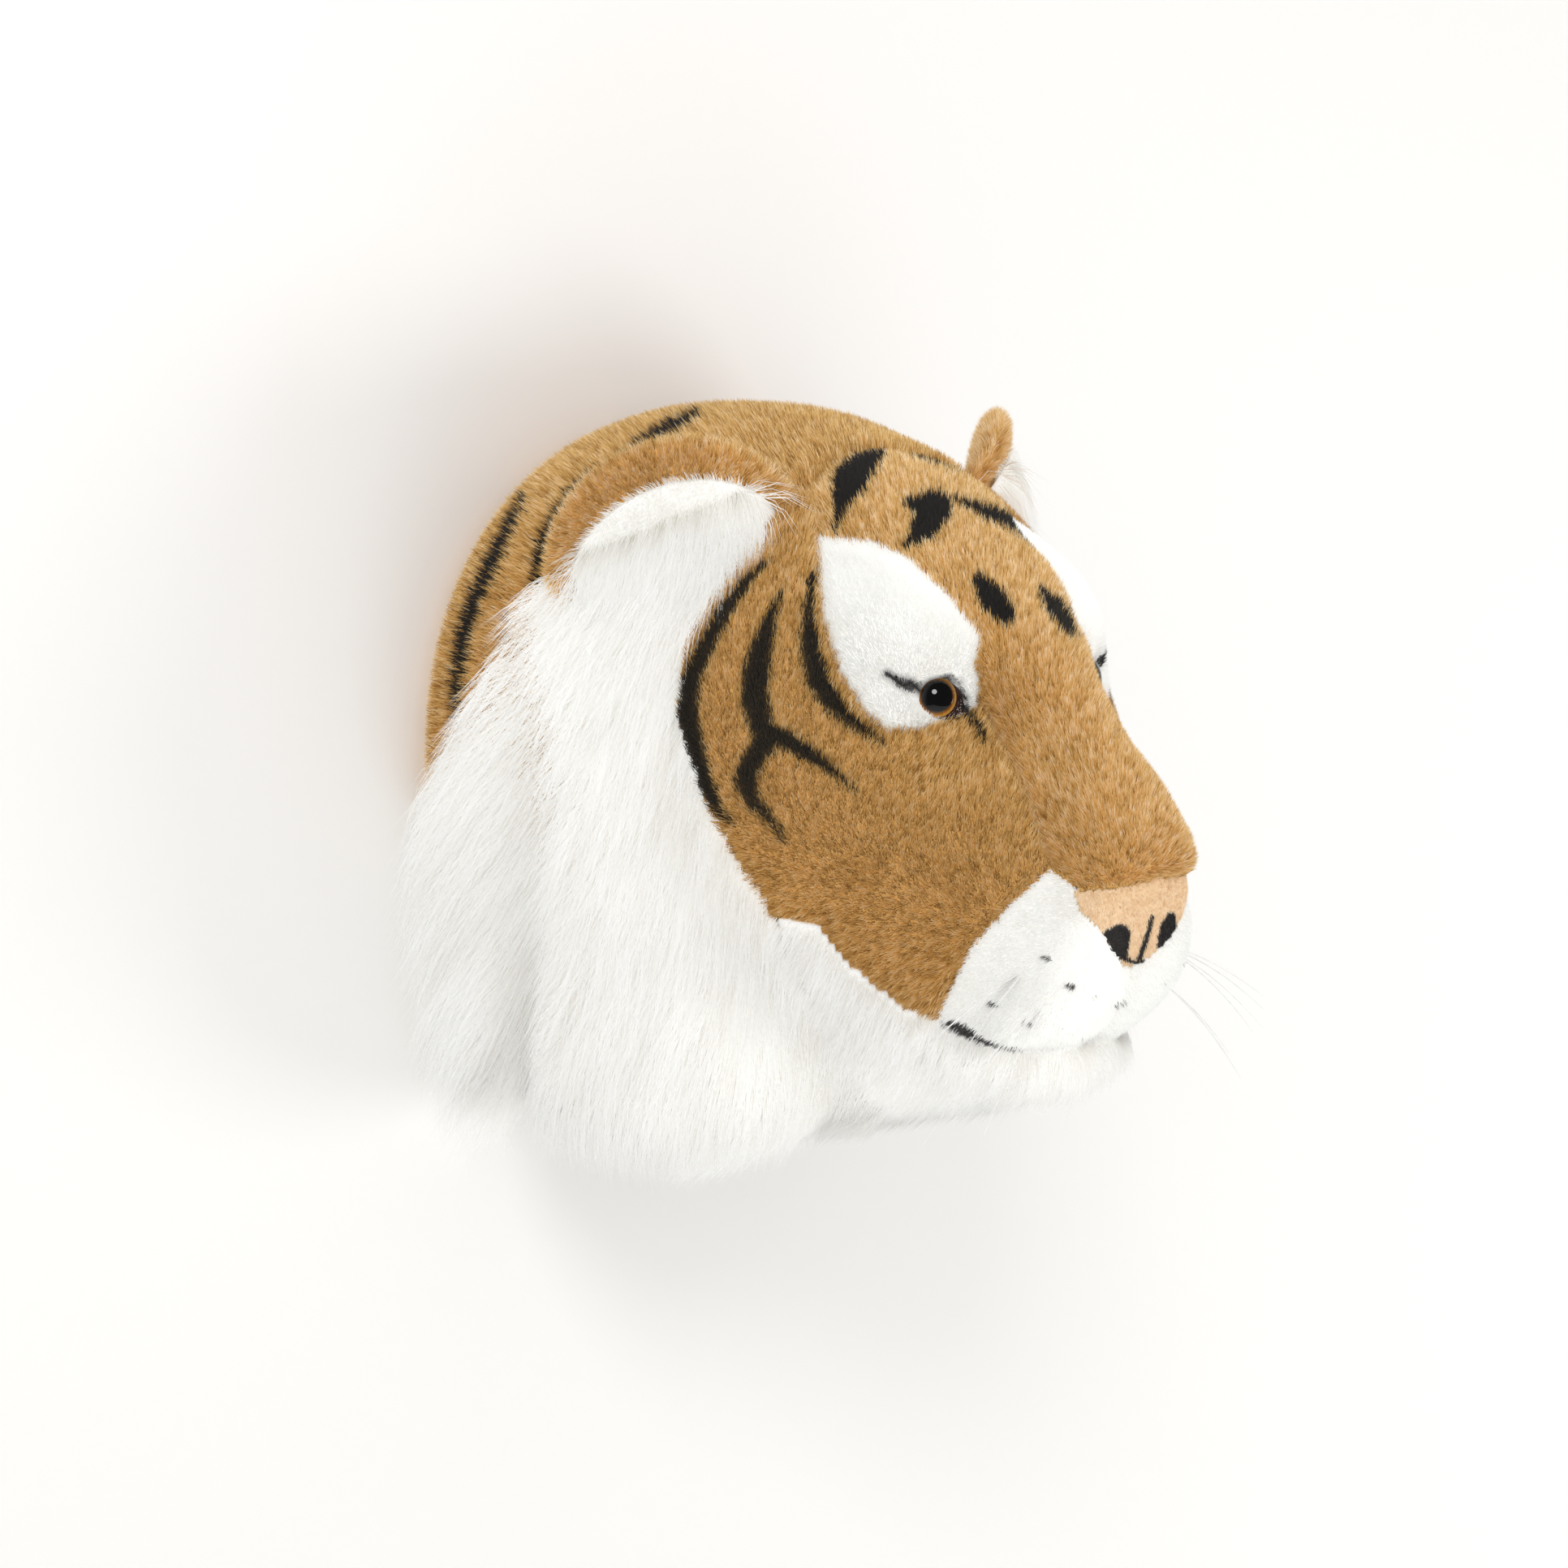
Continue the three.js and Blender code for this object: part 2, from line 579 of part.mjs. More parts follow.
function earPoint(reach, angle, lift, rise = reach) {
  const along = earHalfWidth * reach * Math.cos(angle);
  const up = (Math.sin(angle) > 0 ? earRise * rise : earRoot * reach) * Math.sin(angle);
  const wrap = earWrap * (along / earHalfWidth) ** 2 * (1 - up / earRise) ** 2;
  const curl = earCurl * reach ** 4 * Math.max(Math.sin(angle), 0);
  return ear.point.clone().addScaledVector(earAlong, along).addScaledVector(earUp, up)
    .addScaledVector(earOut, lift + curl - wrap);
}

function earGeometry(span, rise, low, high) {
  const points = [];
  const thin = (high - low) * earEdgeThinning;
  for (const [lift, taper] of [[low, thin], [high, -thin]]) {
    points.push(earPoint(0, 0, lift));
    for (const round of earRounds) {
      for (let k = 0; k < earSpokes; k++) {
        const edge = lift + taper * round ** 6;
        points.push(earPoint(span * round / 100, 2 * Math.PI * k / earSpokes, edge, rise * round / 100));
      }
    }
  }
  const side = 1 + earRounds.length * earSpokes;
  const faces = [];
  for (let k = 0; k < earSpokes; k++) {
    const next = (k + 1) % earSpokes;
    faces.push([0, 1 + next, 1 + k], [side, side + 1 + k, side + 1 + next]);
    for (let r = 0; r < earRounds.length - 1; r++) {
      const [a, b] = [1 + r * earSpokes, 1 + (r + 1) * earSpokes];
      faces.push([a + k, b + next, b + k], [a + k, a + next, b + next]);
      faces.push([side + a + k, side + b + k, side + b + next]);
      faces.push([side + a + k, side + b + next, side + a + next]);
    }
    const rim = 1 + (earRounds.length - 1) * earSpokes;
    faces.push([rim + k, rim + next, side + rim + next], [rim + k, side + rim + next, side + rim + k]);
  }
  return meshGeometry(points, faces);
}

const headCut = solidOf(headGeometry(seamGap));
const ruffCut = solidOf(headGeometry((point) => ruffLift(point) + seamGap, pileStride, ruffSag))
  .intersect(quarterPrism(ruffFrontOutline)(seamGap).intersect(rightHalf));
const earSeat = (solid) => solid.subtract(headCut).subtract(ruffCut);
const earBack = earSeat(solidOf(earGeometry(100, 100, -earThickness, 0)));
const earLining = earSeat(solidOf(earGeometry(liningSpan, liningRise, 2 * seamGap, earLiningThickness)));

// Whiskers: strands that share a stem through the lip and a knot behind it
const whiskerBundles = {
  upper: {
    share: 88.4,
    height: -49,
    strands: [[84, -12, -38], [80, -14, -46], [70, -2, -30], [60, 6, -40]],
  },
  lower: {
    share: 90,
    height: -60,
    strands: [[62, -8, -45], [52, -4, -36], [46, 6, -44]],
  },
};

// Strand of square section that thins towards its tip
function strandGeometry(root, reach, width) {
  const steps = 6;
  const sides = 4;
  const path = Array.from({ length: steps + 1 }, (_, i) => {
    const t = i / steps;
    return root.clone().add(place(-reach[0] * t, reach[1] * t, reach[2] * between(t, t * t, whiskerDroop)));
  });
  const points = path.flatMap((at, i) => {
    const ahead = path[Math.min(i + 1, steps)].clone().sub(path[Math.max(i - 1, 0)]).normalize();
    const side = ahead.clone().cross(place(0, 0, 1)).normalize();
    const above = side.clone().cross(ahead);
    const radius = width / 2 * (1 - whiskerThinning * i / steps);
    return Array.from({ length: sides }, (_, k) => {
      const angle = 2 * Math.PI * k / sides;
      return at.clone().addScaledVector(side, radius * Math.cos(angle))
        .addScaledVector(above, radius * Math.sin(angle));
    });
  });
  const faces = [[0, 1, 2], [0, 2, 3]];
  for (let i = 0; i < steps; i++) {
    for (let k = 0; k < sides; k++) {
      const [a, b] = [i * sides + k, i * sides + (k + 1) % sides];
      faces.push([a, a + sides, b], [b, a + sides, b + sides]);
    }
  }
  const end = steps * sides;
  faces.push([end, end + 2, end + 1], [end, end + 3, end + 2]);
  return meshGeometry(points, faces);
}

function whiskerProfile(grow) {
  const [knot, stem] = [whiskerKnot / 2 + grow, whiskerStem / 2 + grow];
  const inner = -skinThickness - 2 * seamGap;
  const [back, front] = [inner - whiskerKnotLength - grow, whiskerDiameter + grow];
  return [[0, back], [knot, back], [knot, inner + grow], [stem, inner + grow], [stem, front], [0, front]];
}

const whiskerSolids = {};
const whiskerCuts = [];
for (const [name, { share, height, strands }] of Object.entries(whiskerBundles)) {
  const root = skinAt(share * headDepth / 100, height);
  const matrix = standing(root.point, root.normal);
  const start = root.point.clone().addScaledVector(root.normal, whiskerDiameter / 2);
  whiskerSolids[name] = strands.reduce((sum, reach) => sum.add(solidOf(strandGeometry(start, reach,
    whiskerDiameter))), solidOf(turned(whiskerProfile(0), whiskerFacets).applyMatrix4(matrix)));
  whiskerCuts.push(both(solidOf(turned(whiskerProfile(seamGap), whiskerFacets).applyMatrix4(matrix))));
}

// Staples: a crown on the hem and two legs into the board
function stapleSolid(angle, grow) {
  const middle = skinAtBack - seamGap - hemThickness - seamGap - stapleWire / 2;
  const half = stapleWidth / 2 + grow;
  const wire = stapleWire + 2 * grow;
  const back = middle - stapleWire / 2 - grow;
  const legEnd = back + stapleLeg + 2 * grow;
  const shape = new THREE.Shape([[-half, back], [half, back], [half, legEnd], [half - wire, legEnd],
    [half - wire, back + wire], [wire - half, back + wire], [wire - half, legEnd], [-half, legEnd]]
    .map(([x, y]) => new THREE.Vector2(x, y)));
  const geometry = new THREE.ExtrudeGeometry(shape, { depth: wire, bevelEnabled: false });
  geometry.translate(0, 0, -wire / 2);
  const normal = loftNormal(shareOf(skinAtBack), angle).setY(0).normalize();
  const at = loftPoint(shareOf(skinAtBack), angle).setY(0)
    .addScaledVector(normal, -boardInset - hemWidth / 2);
  const forward = place(0, 1, 0);
  const matrix = new THREE.Matrix4().makeBasis(forward.clone().cross(normal), forward, normal);
  return solidOf(geometry.applyMatrix4(matrix.setPosition(at)));
}

const stapleAngles = Array.from({ length: stapleCount }, (_, k) => 2 * Math.PI * (k + 0.5) / stapleCount);
const stapleCuts = stapleAngles.map((angle) => stapleSolid(angle, seamGap));

// Hanger: a strap folded round the bar of a D-shaped ring and screwed to the board
const eyeRadius = ringWire / 2 + seamGap + strapThickness;
const strapFront = skinAtBack - seamGap;
const hangerDepth = strapFront - eyeRadius;
const screwHeights = screwShares.map((share) => hangerHeight - share * strapLength);

function strapGeometry() {
  const inner = eyeRadius - strapThickness;
  const shape = new THREE.Shape();
  shape.moveTo(eyeRadius, -strapLength);
  shape.lineTo(eyeRadius, 0);
  shape.absarc(0, 0, eyeRadius, 0, 2 * Math.PI - Math.acos(inner / eyeRadius), false);
  shape.lineTo(inner, -strapLength);
  const bore = new THREE.Path().absarc(0, 0, inner, 0, 2 * Math.PI, true);
  shape.holes.push(bore);
  const geometry = new THREE.ExtrudeGeometry(shape,
    { depth: strapWidth, bevelEnabled: false, curveSegments: strapFacets });
  geometry.translate(0, 0, -strapWidth / 2);
  const basis = new THREE.Matrix4().makeBasis(place(0, 1, 0), place(0, 0, 1), place(-1, 0, 0));
  return geometry.applyMatrix4(basis.setPosition(place(0, hangerDepth, hangerHeight)));
}

function ringGeometry() {
  const half = (ringWidth - ringWire) / 2;
  const outline = new THREE.Path().moveTo(ringCorner - half, 0).lineTo(half - ringCorner, 0);
  outline.quadraticCurveTo(half, 0, half, ringCorner);
  outline.absellipse(0, ringCorner, half, ringHeight - ringCorner, 0, Math.PI, false);
  outline.quadraticCurveTo(-half, 0, ringCorner - half, 0);
  const steps = 32;
  const sides = 8;
  const path = outline.getSpacedPoints(steps).slice(0, -1);
  const count = path.length;
  const points = path.flatMap((at, i) => {
    const ahead = path[(i + 1) % count].clone().sub(path[(i + count - 1) % count]).normalize();
    return Array.from({ length: sides }, (_, k) => {
      const angle = 2 * Math.PI * (k + 0.5) / sides;
      const out = ringWire / 2 * Math.cos(angle);
      return new THREE.Vector3(at.x + ahead.y * out, ringWire / 2 * Math.sin(angle), at.y - ahead.x * out);
    });
  });
  const faces = [];
  for (let i = 0; i < count; i++) {
    for (let k = 0; k < sides; k++) {
      const [a, b] = [i * sides, ((i + 1) % count) * sides];
      const next = (k + 1) % sides;
      faces.push([a + k, b + next, b + k], [a + k, a + next, b + next]);
    }
  }
  return meshGeometry(points, faces);
}

const ringLean = Math.asin((strapFront - ringWire / 2 - hangerDepth) / ringHeight);

function screwProfile(grow) {
  const [head, shank] = [screwHeadDiameter / 2 + grow, screwDiameter / 2 + grow];
  return [[0, -screwHeadHeight - grow], [head * screwHeadFlat, -screwHeadHeight - grow],
    [head, -screwHeadEdge], [head, grow], [shank, grow], [shank, screwLength - screwPoint + grow],
    [0, screwLength + grow]];
}

const screwSeat = strapFront - strapThickness - seamGap;
const screwSolid = (height, grow) => solidOf(turned(screwProfile(grow), screwFacets)
  .applyMatrix4(standing(place(0, screwSeat, height), place(0, 1, 0))));
const screwCuts = screwHeights.map((height) => screwSolid(height, seamGap));

// Board, lining and filling
const cutAll = (solid, cuts) => cuts.reduce((left, cut) => left.subtract(cut), solid);
const board = cutAll(plate(rimOutline(boardInset), 0, skinAtBack, boardFront),
  [...stapleCuts, ...screwCuts]);
const slotHalf = ringWidth / 2 + hangerMargin;
const slot = block([-far, far], [-slotHalf, slotHalf],
  [hangerHeight - strapLength - hangerMargin, hangerHeight + ringHeight + hangerMargin]);
const lining = plate(liningOutline, 0, 0, skinAtBack - seamGap).subtract(slot);
const filling = cutAll(core.intersect(block([boardFront + seamGap, far])),
  [eyeCut, washerCut, ...whiskerCuts]);

const group = new THREE.Group();
group.name = 'plush_tiger_head_trophy';

function add(name, solid, colour, roughness = 0.95, metalness = 0) {
  const mesh = new THREE.Mesh(geometryOf(solid), new THREE.MeshStandardMaterial({ color: colour, roughness,
    metalness }));
  mesh.name = name;
  group.add(mesh);
  return mesh;
}

function addPair(name, right, colour, roughness, metalness) {
  add(`${name}_right`, right, colour, roughness, metalness);
  add(`${name}_left`, mirrored(right), colour, roughness, metalness);
}

add('back_board', board, wood, 0.8);
add('back_lining', lining, charcoal);
add('hanger_strap', cutAll(solidOf(strapGeometry()), screwCuts), brass, 0.35, 1);
screwHeights.forEach((height, i) => add(`hanger_screw_${i + 1}`, screwSolid(height, 0), steel, 0.3, 1));
stapleAngles.forEach((angle, i) => add(`skin_staple_${i + 1}`, stapleSolid(angle, 0), steel, 0.35, 1));
const ring = add('hanger_ring', solidOf(ringGeometry()), steel, 0.3, 1);
ring.position.copy(place(0, hangerDepth, hangerHeight));
ring.rotation.x = ringLean;

add('head_filling', filling, white);
add('nose_pad', panels.nose_pad, salmon);
add('bridge_panel', panels.bridge_panel, tan);
add('chin_panel', panels.chin_panel, white);
add('throat_panel', panels.throat_panel, white);
addPair('neck_panel', cutAll(panels.neck_panel, stapleCuts), tan);
addPair('cheek', panels.cheek, tan);
addPair('eye_patch', cutAll(panels.eye_patch, [eyeCut, washerCut]), white);
addPair('lip', cutAll(panels.lip, whiskerCuts), white);
addPair('ruff_front', panels.ruff_front, white);
addPair('ruff_back', panels.ruff_back, white);
addPair('ear_back', earBack, tan);
addPair('ear_lining', earLining, white);
addPair('eye', solidOf(turned(eyeProfile(0), eyeFacets).applyMatrix4(eyePlace)), brown, 0.05);
addPair('eye_washer', solidOf(turned(washerProfile(0), eyeFacets).applyMatrix4(washerPlace)), white, 0.6);
addPair('whiskers_upper', whiskerSolids.upper, white, 0.3);
addPair('whiskers_lower', whiskerSolids.lower, white, 0.3);

export default group;
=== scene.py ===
import math

import bpy
import numpy as np
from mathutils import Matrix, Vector


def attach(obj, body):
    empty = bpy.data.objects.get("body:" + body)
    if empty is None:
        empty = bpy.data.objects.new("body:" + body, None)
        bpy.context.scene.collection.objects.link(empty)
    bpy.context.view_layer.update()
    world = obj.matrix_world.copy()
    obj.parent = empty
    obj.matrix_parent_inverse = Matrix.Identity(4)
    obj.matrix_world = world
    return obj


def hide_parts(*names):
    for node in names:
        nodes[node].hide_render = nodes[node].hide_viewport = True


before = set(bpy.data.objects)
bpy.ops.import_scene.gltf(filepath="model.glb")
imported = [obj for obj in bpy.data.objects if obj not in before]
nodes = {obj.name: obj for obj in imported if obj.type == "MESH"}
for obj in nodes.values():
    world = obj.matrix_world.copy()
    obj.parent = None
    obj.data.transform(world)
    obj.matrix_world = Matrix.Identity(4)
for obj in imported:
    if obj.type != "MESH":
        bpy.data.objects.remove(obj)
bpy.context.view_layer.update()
scene = bpy.context.scene
mm = 0.001  # forms are worked out in millimetres, meshes are in metres
print("frame loaded:", len(nodes), "nodes")

# Camera: a three-quarter view from the tiger's right and a little above

cameraFacts = {"turn": -48, "rise": 8, "distance": 2.0, "target": (0, -0.0767, 0), "span": 0.599}
frameSide = 1932  # the photograph is this many pixels wide and high


def makeCamera(facts):
    turn, rise = math.radians(facts["turn"]), math.radians(facts["rise"])
    away = Vector((math.sin(turn) * math.cos(rise), -math.cos(turn) * math.cos(rise), math.sin(rise)))
    data = bpy.data.cameras.new("camera")
    data.sensor_width = 36
    data.lens = data.sensor_width * facts["distance"] / facts["span"]
    camera = bpy.data.objects.new("camera", data)
    camera.location = Vector(facts["target"]) + away * facts["distance"]
    camera.rotation_euler = away.to_track_quat("Z", "Y").to_euler()
    scene.collection.objects.link(camera)
    scene.camera = camera
    bpy.context.view_layer.update()
    return camera


camera = makeCamera(cameraFacts)
viewRows = np.array(camera.matrix_world.inverted())


# Where points in millimetres fall in the photograph, in its pixels
def toPixels(points):
    seen = points * mm @ viewRows[:3, :3].T + viewRows[:3, 3]
    scale = camera.data.lens / camera.data.sensor_width * frameSide
    across = frameSide / 2 + scale * seen[:, 0] / -seen[:, 2]
    down = frameSide / 2 - scale * seen[:, 1] / -seen[:, 2]
    return np.stack([across, down], 1)


# Small helpers

def linear(hexColour):
    parts = [int(hexColour[i:i + 2], 16) / 255 for i in (1, 3, 5)]
    return (*(c / 12.92 if c <= 0.04045 else ((c + 0.055) / 1.055) ** 2.4 for c in parts), 1)


def addNode(tree, kind, feeds=None, **settings):
    node = tree.nodes.new(kind)
    for name, value in settings.items():
        setattr(node, name, value)
    for key, value in (feeds or {}).items():
        if isinstance(value, bpy.types.NodeSocket):
            tree.links.new(value, node.inputs[key])
        else:
            node.inputs[key].default_value = value
    return node


# Scale of a pattern whose grains are this many millimetres wide
def scaleOf(size):
    return 1 / (size * mm)


def newMaterial(name):
    material = bpy.data.materials.new(name)
    material.use_nodes = True
    material.node_tree.nodes.clear()
    return material, material.node_tree


def setRamp(ramp, stops):
    while len(ramp.elements) > 1:
        ramp.elements.remove(ramp.elements[-1])
    for i, (at, colour) in enumerate(stops):
        element = ramp.elements[0] if i == 0 else ramp.elements.new(at)
        element.position = at
        element.color = linear(colour)


def makeMesh(name, points, faces):
    mesh = bpy.data.meshes.new(name)
    mesh.vertices.add(len(points))
    mesh.vertices.foreach_set("co", (np.asarray(points) * mm).astype(np.float32).ravel())
    sides = faces.shape[1]
    mesh.loops.add(faces.size)
    mesh.loops.foreach_set("vertex_index", faces.astype(np.int32).ravel())
    mesh.polygons.add(len(faces))
    mesh.polygons.foreach_set("loop_start", np.arange(0, faces.size, sides, dtype=np.int32))
    mesh.polygons.foreach_set("use_smooth", np.ones(len(faces), bool))
    mesh.update()
    mesh.validate()
    return mesh


def addObject(name, mesh):
    piece = bpy.data.objects.new(name, mesh)
    scene.collection.objects.link(piece)
    return piece


# Pieces are made for the tiger's right side, where x is below zero, and mirrored for its left
both = {"_right": np.array([1, 1, 1]), "_left": np.array([-1, 1, 1])}


def onRight(points):
    return np.stack([-np.abs(points[..., 0]), points[..., 1], points[..., 2]], -1)


def addShape(name, points, faces, material):
    mesh = bpy.data.meshes.new(name)
    mesh.from_pydata((points * mm).tolist(), [], faces)
    mesh.polygons.foreach_set("use_smooth", np.ones(len(mesh.polygons), bool))
    mesh.materials.append(material)
    return addObject(name, mesh)


# Tree of nodes with named inputs: name, kind and usual value
def newTree(name, inputs):
    tree = bpy.data.node_groups.new(name, "GeometryNodeTree")
    sockets = tree.interface
    sockets.new_socket("Geometry", in_out="INPUT", socket_type="NodeSocketGeometry")
    for label, kind, value in inputs:
        socket = sockets.new_socket(label, in_out="INPUT", socket_type=kind)
        if value is not None:
            socket.default_value = value
    sockets.new_socket("Geometry", in_out="OUTPUT", socket_type="NodeSocketGeometry")
    return tree, addNode(tree, "NodeGroupInput").outputs


# What a tree makes of a mesh, as a plain mesh. The mesh that it starts from is removed.
def madeBy(tree, mesh, inputs):
    ground = addObject(mesh.name, mesh)
    modifier = ground.modifiers.new(tree.name, "NODES")
    modifier.node_group = tree
    for socket in tree.interface.items_tree:
        if socket.in_out == "INPUT" and socket.name in inputs:
            modifier[socket.identifier] = inputs[socket.name]
    made = bpy.data.meshes.new_from_object(ground.evaluated_get(bpy.context.evaluated_depsgraph_get()))
    bpy.data.objects.remove(ground)
    bpy.data.meshes.remove(mesh)
    return made


# Form of the stuffed head: lines from the wall to the nose tip, [share of the depth, share of the size]

headForm = {
    "depth": 258, "halfWidth": 117.5, "crown": 138.5, "throat": 114,
    "topLine": [[-2, 90.7], [0, 91.8], [16, 99.8], [26, 100], [40, 94.6], [51.5, 87.6], [64.3, 71.6],
                [80, 46.1], [88.4, 25.2], [94.2, 12.5], [97.7, 3.4], [99.2, 0], [100, -7.22]],
    "bottomLine": [[-2, 87], [0, 88], [19.4, 97.4], [38.8, 100], [58, 94], [75.6, 84.5], [82.2, 80.8],
                   [86, 75], [89, 66.5], [92, 54.5], [94.6, 43], [97, 32.5], [98.8, 21.8], [100, 8.77]],
    "halfLine": [[-2, 97.3], [0, 98.2], [15.5, 100], [31, 98.1], [46.5, 90.7], [62, 73.4], [71.7, 58.7],
                 [77.5, 48.6], [83.3, 40.2], [88.4, 32], [92.2, 27.2], [95.3, 22.8], [97.7, 18.6],
                 [99.2, 12.8], [99.8, 6.8], [100, 0]],
    "waistLine": [[0, 10.8], [31, 10.8], [46.5, 7.4], [62, 0], [77.5, -12.8], [87.2, -23.1],
                  [92.2, -24.6], [95.3, -21.5], [97.7, -15.9], [99.2, -10.3], [100, -7.22]],
    "archLine": [[0, 2.15], [46.5, 2.15], [70, 1.75], [80, 1.62], [88, 1.62], [95, 2.05], [100, 2.2]],
    "bellyLine": [[0, 2.2], [46.5, 2.3], [70, 2.4], [85, 2.6], [95, 2.4], [100, 2.2]],
    # rises and hollows: across, depth, height, radius, rise
    "swells": [[50, 180.6, 76, 28, 11], [42, 210.3, 38, 20, -11], [24, 236, -52, 19, 5.5],
               [0, 228, -80, 8, -3], [24, 226, -80, 8, -3], [42, 212, -76, 8, -2.5], [0, 214, -92, 16, 2]],
    "firstShare": 1.6, "lastShare": 99.995, "crowding": 1.7,
    "fold": [[1.2, 18], [1.2, 13], [1.2, 8], [1.2, 4], [1.3, 1.6], [1.9, 0.5]],  # hem: depth and inset
}


def smoothLine(stations, at):
    x, y = np.array(stations, float).T
    slope = np.diff(y) / np.diff(x)
    product, total = slope[:-1] * slope[1:], slope[:-1] + slope[1:]
    middle = np.where(product <= 0, 0, 2 * product / np.where(product <= 0, 1, total))
    tangent = np.concatenate([slope[:1], middle, slope[-1:]])
    at = np.clip(at, x[0], x[-1])
    i = np.clip(np.searchsorted(x, at, side="right") - 1, 0, len(slope) - 1)
    length = x[i + 1] - x[i]
    t = (at - x[i]) / length
    rise = (3 - 2 * t) * t * t
    bends = (t - 1) * t * ((t - 1) * tangent[i] + t * tangent[i + 1]) * length
    return y[i] * (1 - rise) + y[i + 1] * rise + bends


def loftPoints(share, angle):
    form = headForm
    share, angle = np.broadcast_arrays(share, angle)
    top = smoothLine(form["topLine"], share) * form["crown"] / 100
    bottom = -smoothLine(form["bottomLine"], share) * form["throat"] / 100
    half = smoothLine(form["halfLine"], share) * form["halfWidth"] / 100
    waist = smoothLine(form["waistLine"], share) * form["crown"] / 100
    up, across = np.cos(angle), np.sin(angle)
    arch = smoothLine(form["archLine"], share)
    belly = smoothLine(form["bellyLine"], share)
    power = 2 / np.where(up >= 0, arch, belly)
    x = half * np.sign(across) * np.abs(across) ** power
    z = waist + np.where(up >= 0, top - waist, bottom - waist) * np.abs(up) ** power
    return np.stack([x, -share * form["depth"] / 100, z], -1)


# Rows of points from the folded hem over the whole head to the tip of the nose
def headGrid(rows, around):
    form = headForm
    i = np.linspace(0, 1, rows)
    share = form["firstShare"] + (form["lastShare"] - form["firstShare"]) * (1 - (1 - i) ** form["crowding"])
    angle = 2 * math.pi * np.arange(around) / around
    grid = loftPoints(share[:, None], angle[None, :])
    rim = loftPoints(np.array([[form["firstShare"]]]), angle[None, :])[0]
    along = np.roll(rim, -1, 0) - np.roll(rim, 1, 0)
    outward = np.stack([-along[:, 2], 0 * along[:, 0], along[:, 0]], 1)
    outward /= np.linalg.norm(outward, axis=1)[:, None]
    outward *= np.sign((outward * rim).sum(1).mean())
    fold = np.stack([rim * [1, 0, 1] - outward * inset + [0, -depth, 0] for depth, inset in form["fold"]])
    return np.concatenate([fold, grid])


def gridNormals(grid):
    along = np.gradient(grid, axis=0)
    around = np.roll(grid, -1, 1) - np.roll(grid, 1, 1)
    normal = np.cross(along, around)
    length = np.linalg.norm(normal, axis=2)[..., None]
    return normal / np.maximum(length, 1e-9)


def swollen(grid):
    normal = gridNormals(grid)
    rise = np.zeros(grid.shape[:2])
    for across, depth, height, radius, amount in headForm["swells"]:
        gap = onRight(grid) - [-across, -depth, height]
        rise += amount * np.exp(-(gap ** 2).sum(2) / radius ** 2)
    return grid + normal * rise[..., None]


def gridFaces(rows, around):
    i, k = np.meshgrid(np.arange(rows - 1), np.arange(around), indexing="ij")
    n = (k + 1) % around
    corners = [i * around + k, (i + 1) * around + k, (i + 1) * around + n, i * around + n]
    return np.stack(corners, -1).reshape(-1, 4)


# Faces of rows of points that are closed at both ends by a pole. The poles are the last two points.
def closedFaces(rows, around):
    faces = gridFaces(rows, around).tolist()
    pole, last = rows * around, (rows - 1) * around
    for k in range(around):
        n = (k + 1) % around
        faces += [[pole, k, n], [last + n, last + k, pole + 1]]
    return faces


# Seams. Most are cut square to the three-quarter view: [quarter, height] in millimetres

quarterCos, quarterSin = math.cos(math.radians(48)), math.sin(math.radians(48))
eyeAt, tipAt = (111.6, 49.0), (191.7, -10.0)
far = 400


def offsetBy(origin, line):
    return [[origin[0] + q, origin[1] + h] for q, h in line]


seams = {
    "ruff": [[52, 117], [48, 108], [38, 92], [23, 66], [19, 40], [29, 11], [38, -6], [49, -23], [54, -32]],
    "jaw": [[54, -32], [63, -53], [82, -82], [97, -101]],
    "valley": [[-35, 70], [-25, 31], [-23, -57], [-25, -86]],
    "cheek": [[54, -32], [70, -34], [82, -49], [102, -65]],
    "ruffBack": [[-52, 44], [-74, 4], [-130, -8]],
    "ruffTop": [[-60, 90], [-20, 116], [20, 128], [50, 122]],
    "eyePatch": offsetBy(eyeAt, [[-43, 52], [-23, 50], [-9, 44], [3, 33], [13, 22], [16, 17], [14, 8],
                                 [16, 0], [15, -6], [10, -10], [2, -12], [-6, -14], [-18, -14],
                                 [-27, -6], [-35, 8], [-40, 25]]),
    "brow": offsetBy(eyeAt, [[-47, 71], [-39, 48], [-11, 30], [9, 4], [19, -9], [25, -22]]),
    "lip": offsetBy(tipAt, [[-39, -3], [-25, -12], [-22, -20], [-12, -30], [0, -38], [20, -38], [20, -68],
                            [-16, -69], [-40, -71], [-62, -68], [-77, -61], [-78, -56], [-67, -31],
                            [-53, -15]]),
    "nose": offsetBy(tipAt, [[-47, 19], [-36, -9], [-22, -15]]),
    "mouth": offsetBy(tipAt, [[-73, -59], [-60, -64], [-40, -67], [-16, -65]]),
    "nosePad": [[0, -17], [18, -18], [29, -20], [28.5, -28], [18, -41], [6, -50], [0, -51],
                [-6, -50], [-18, -41], [-28.5, -28], [-29, -20], [-18, -18]],
    "neckTop": [[3, 100], [3, -118], [0, -118], [-46, -128], [-104, -47], [-150, 20], [-150, 100]],
    "neckSeamHeight": 66, "neckBand": 14, "throatHalf": 30, "throatFront": 158, "throatTop": -57,
    "ruffBackBand": 5,
}

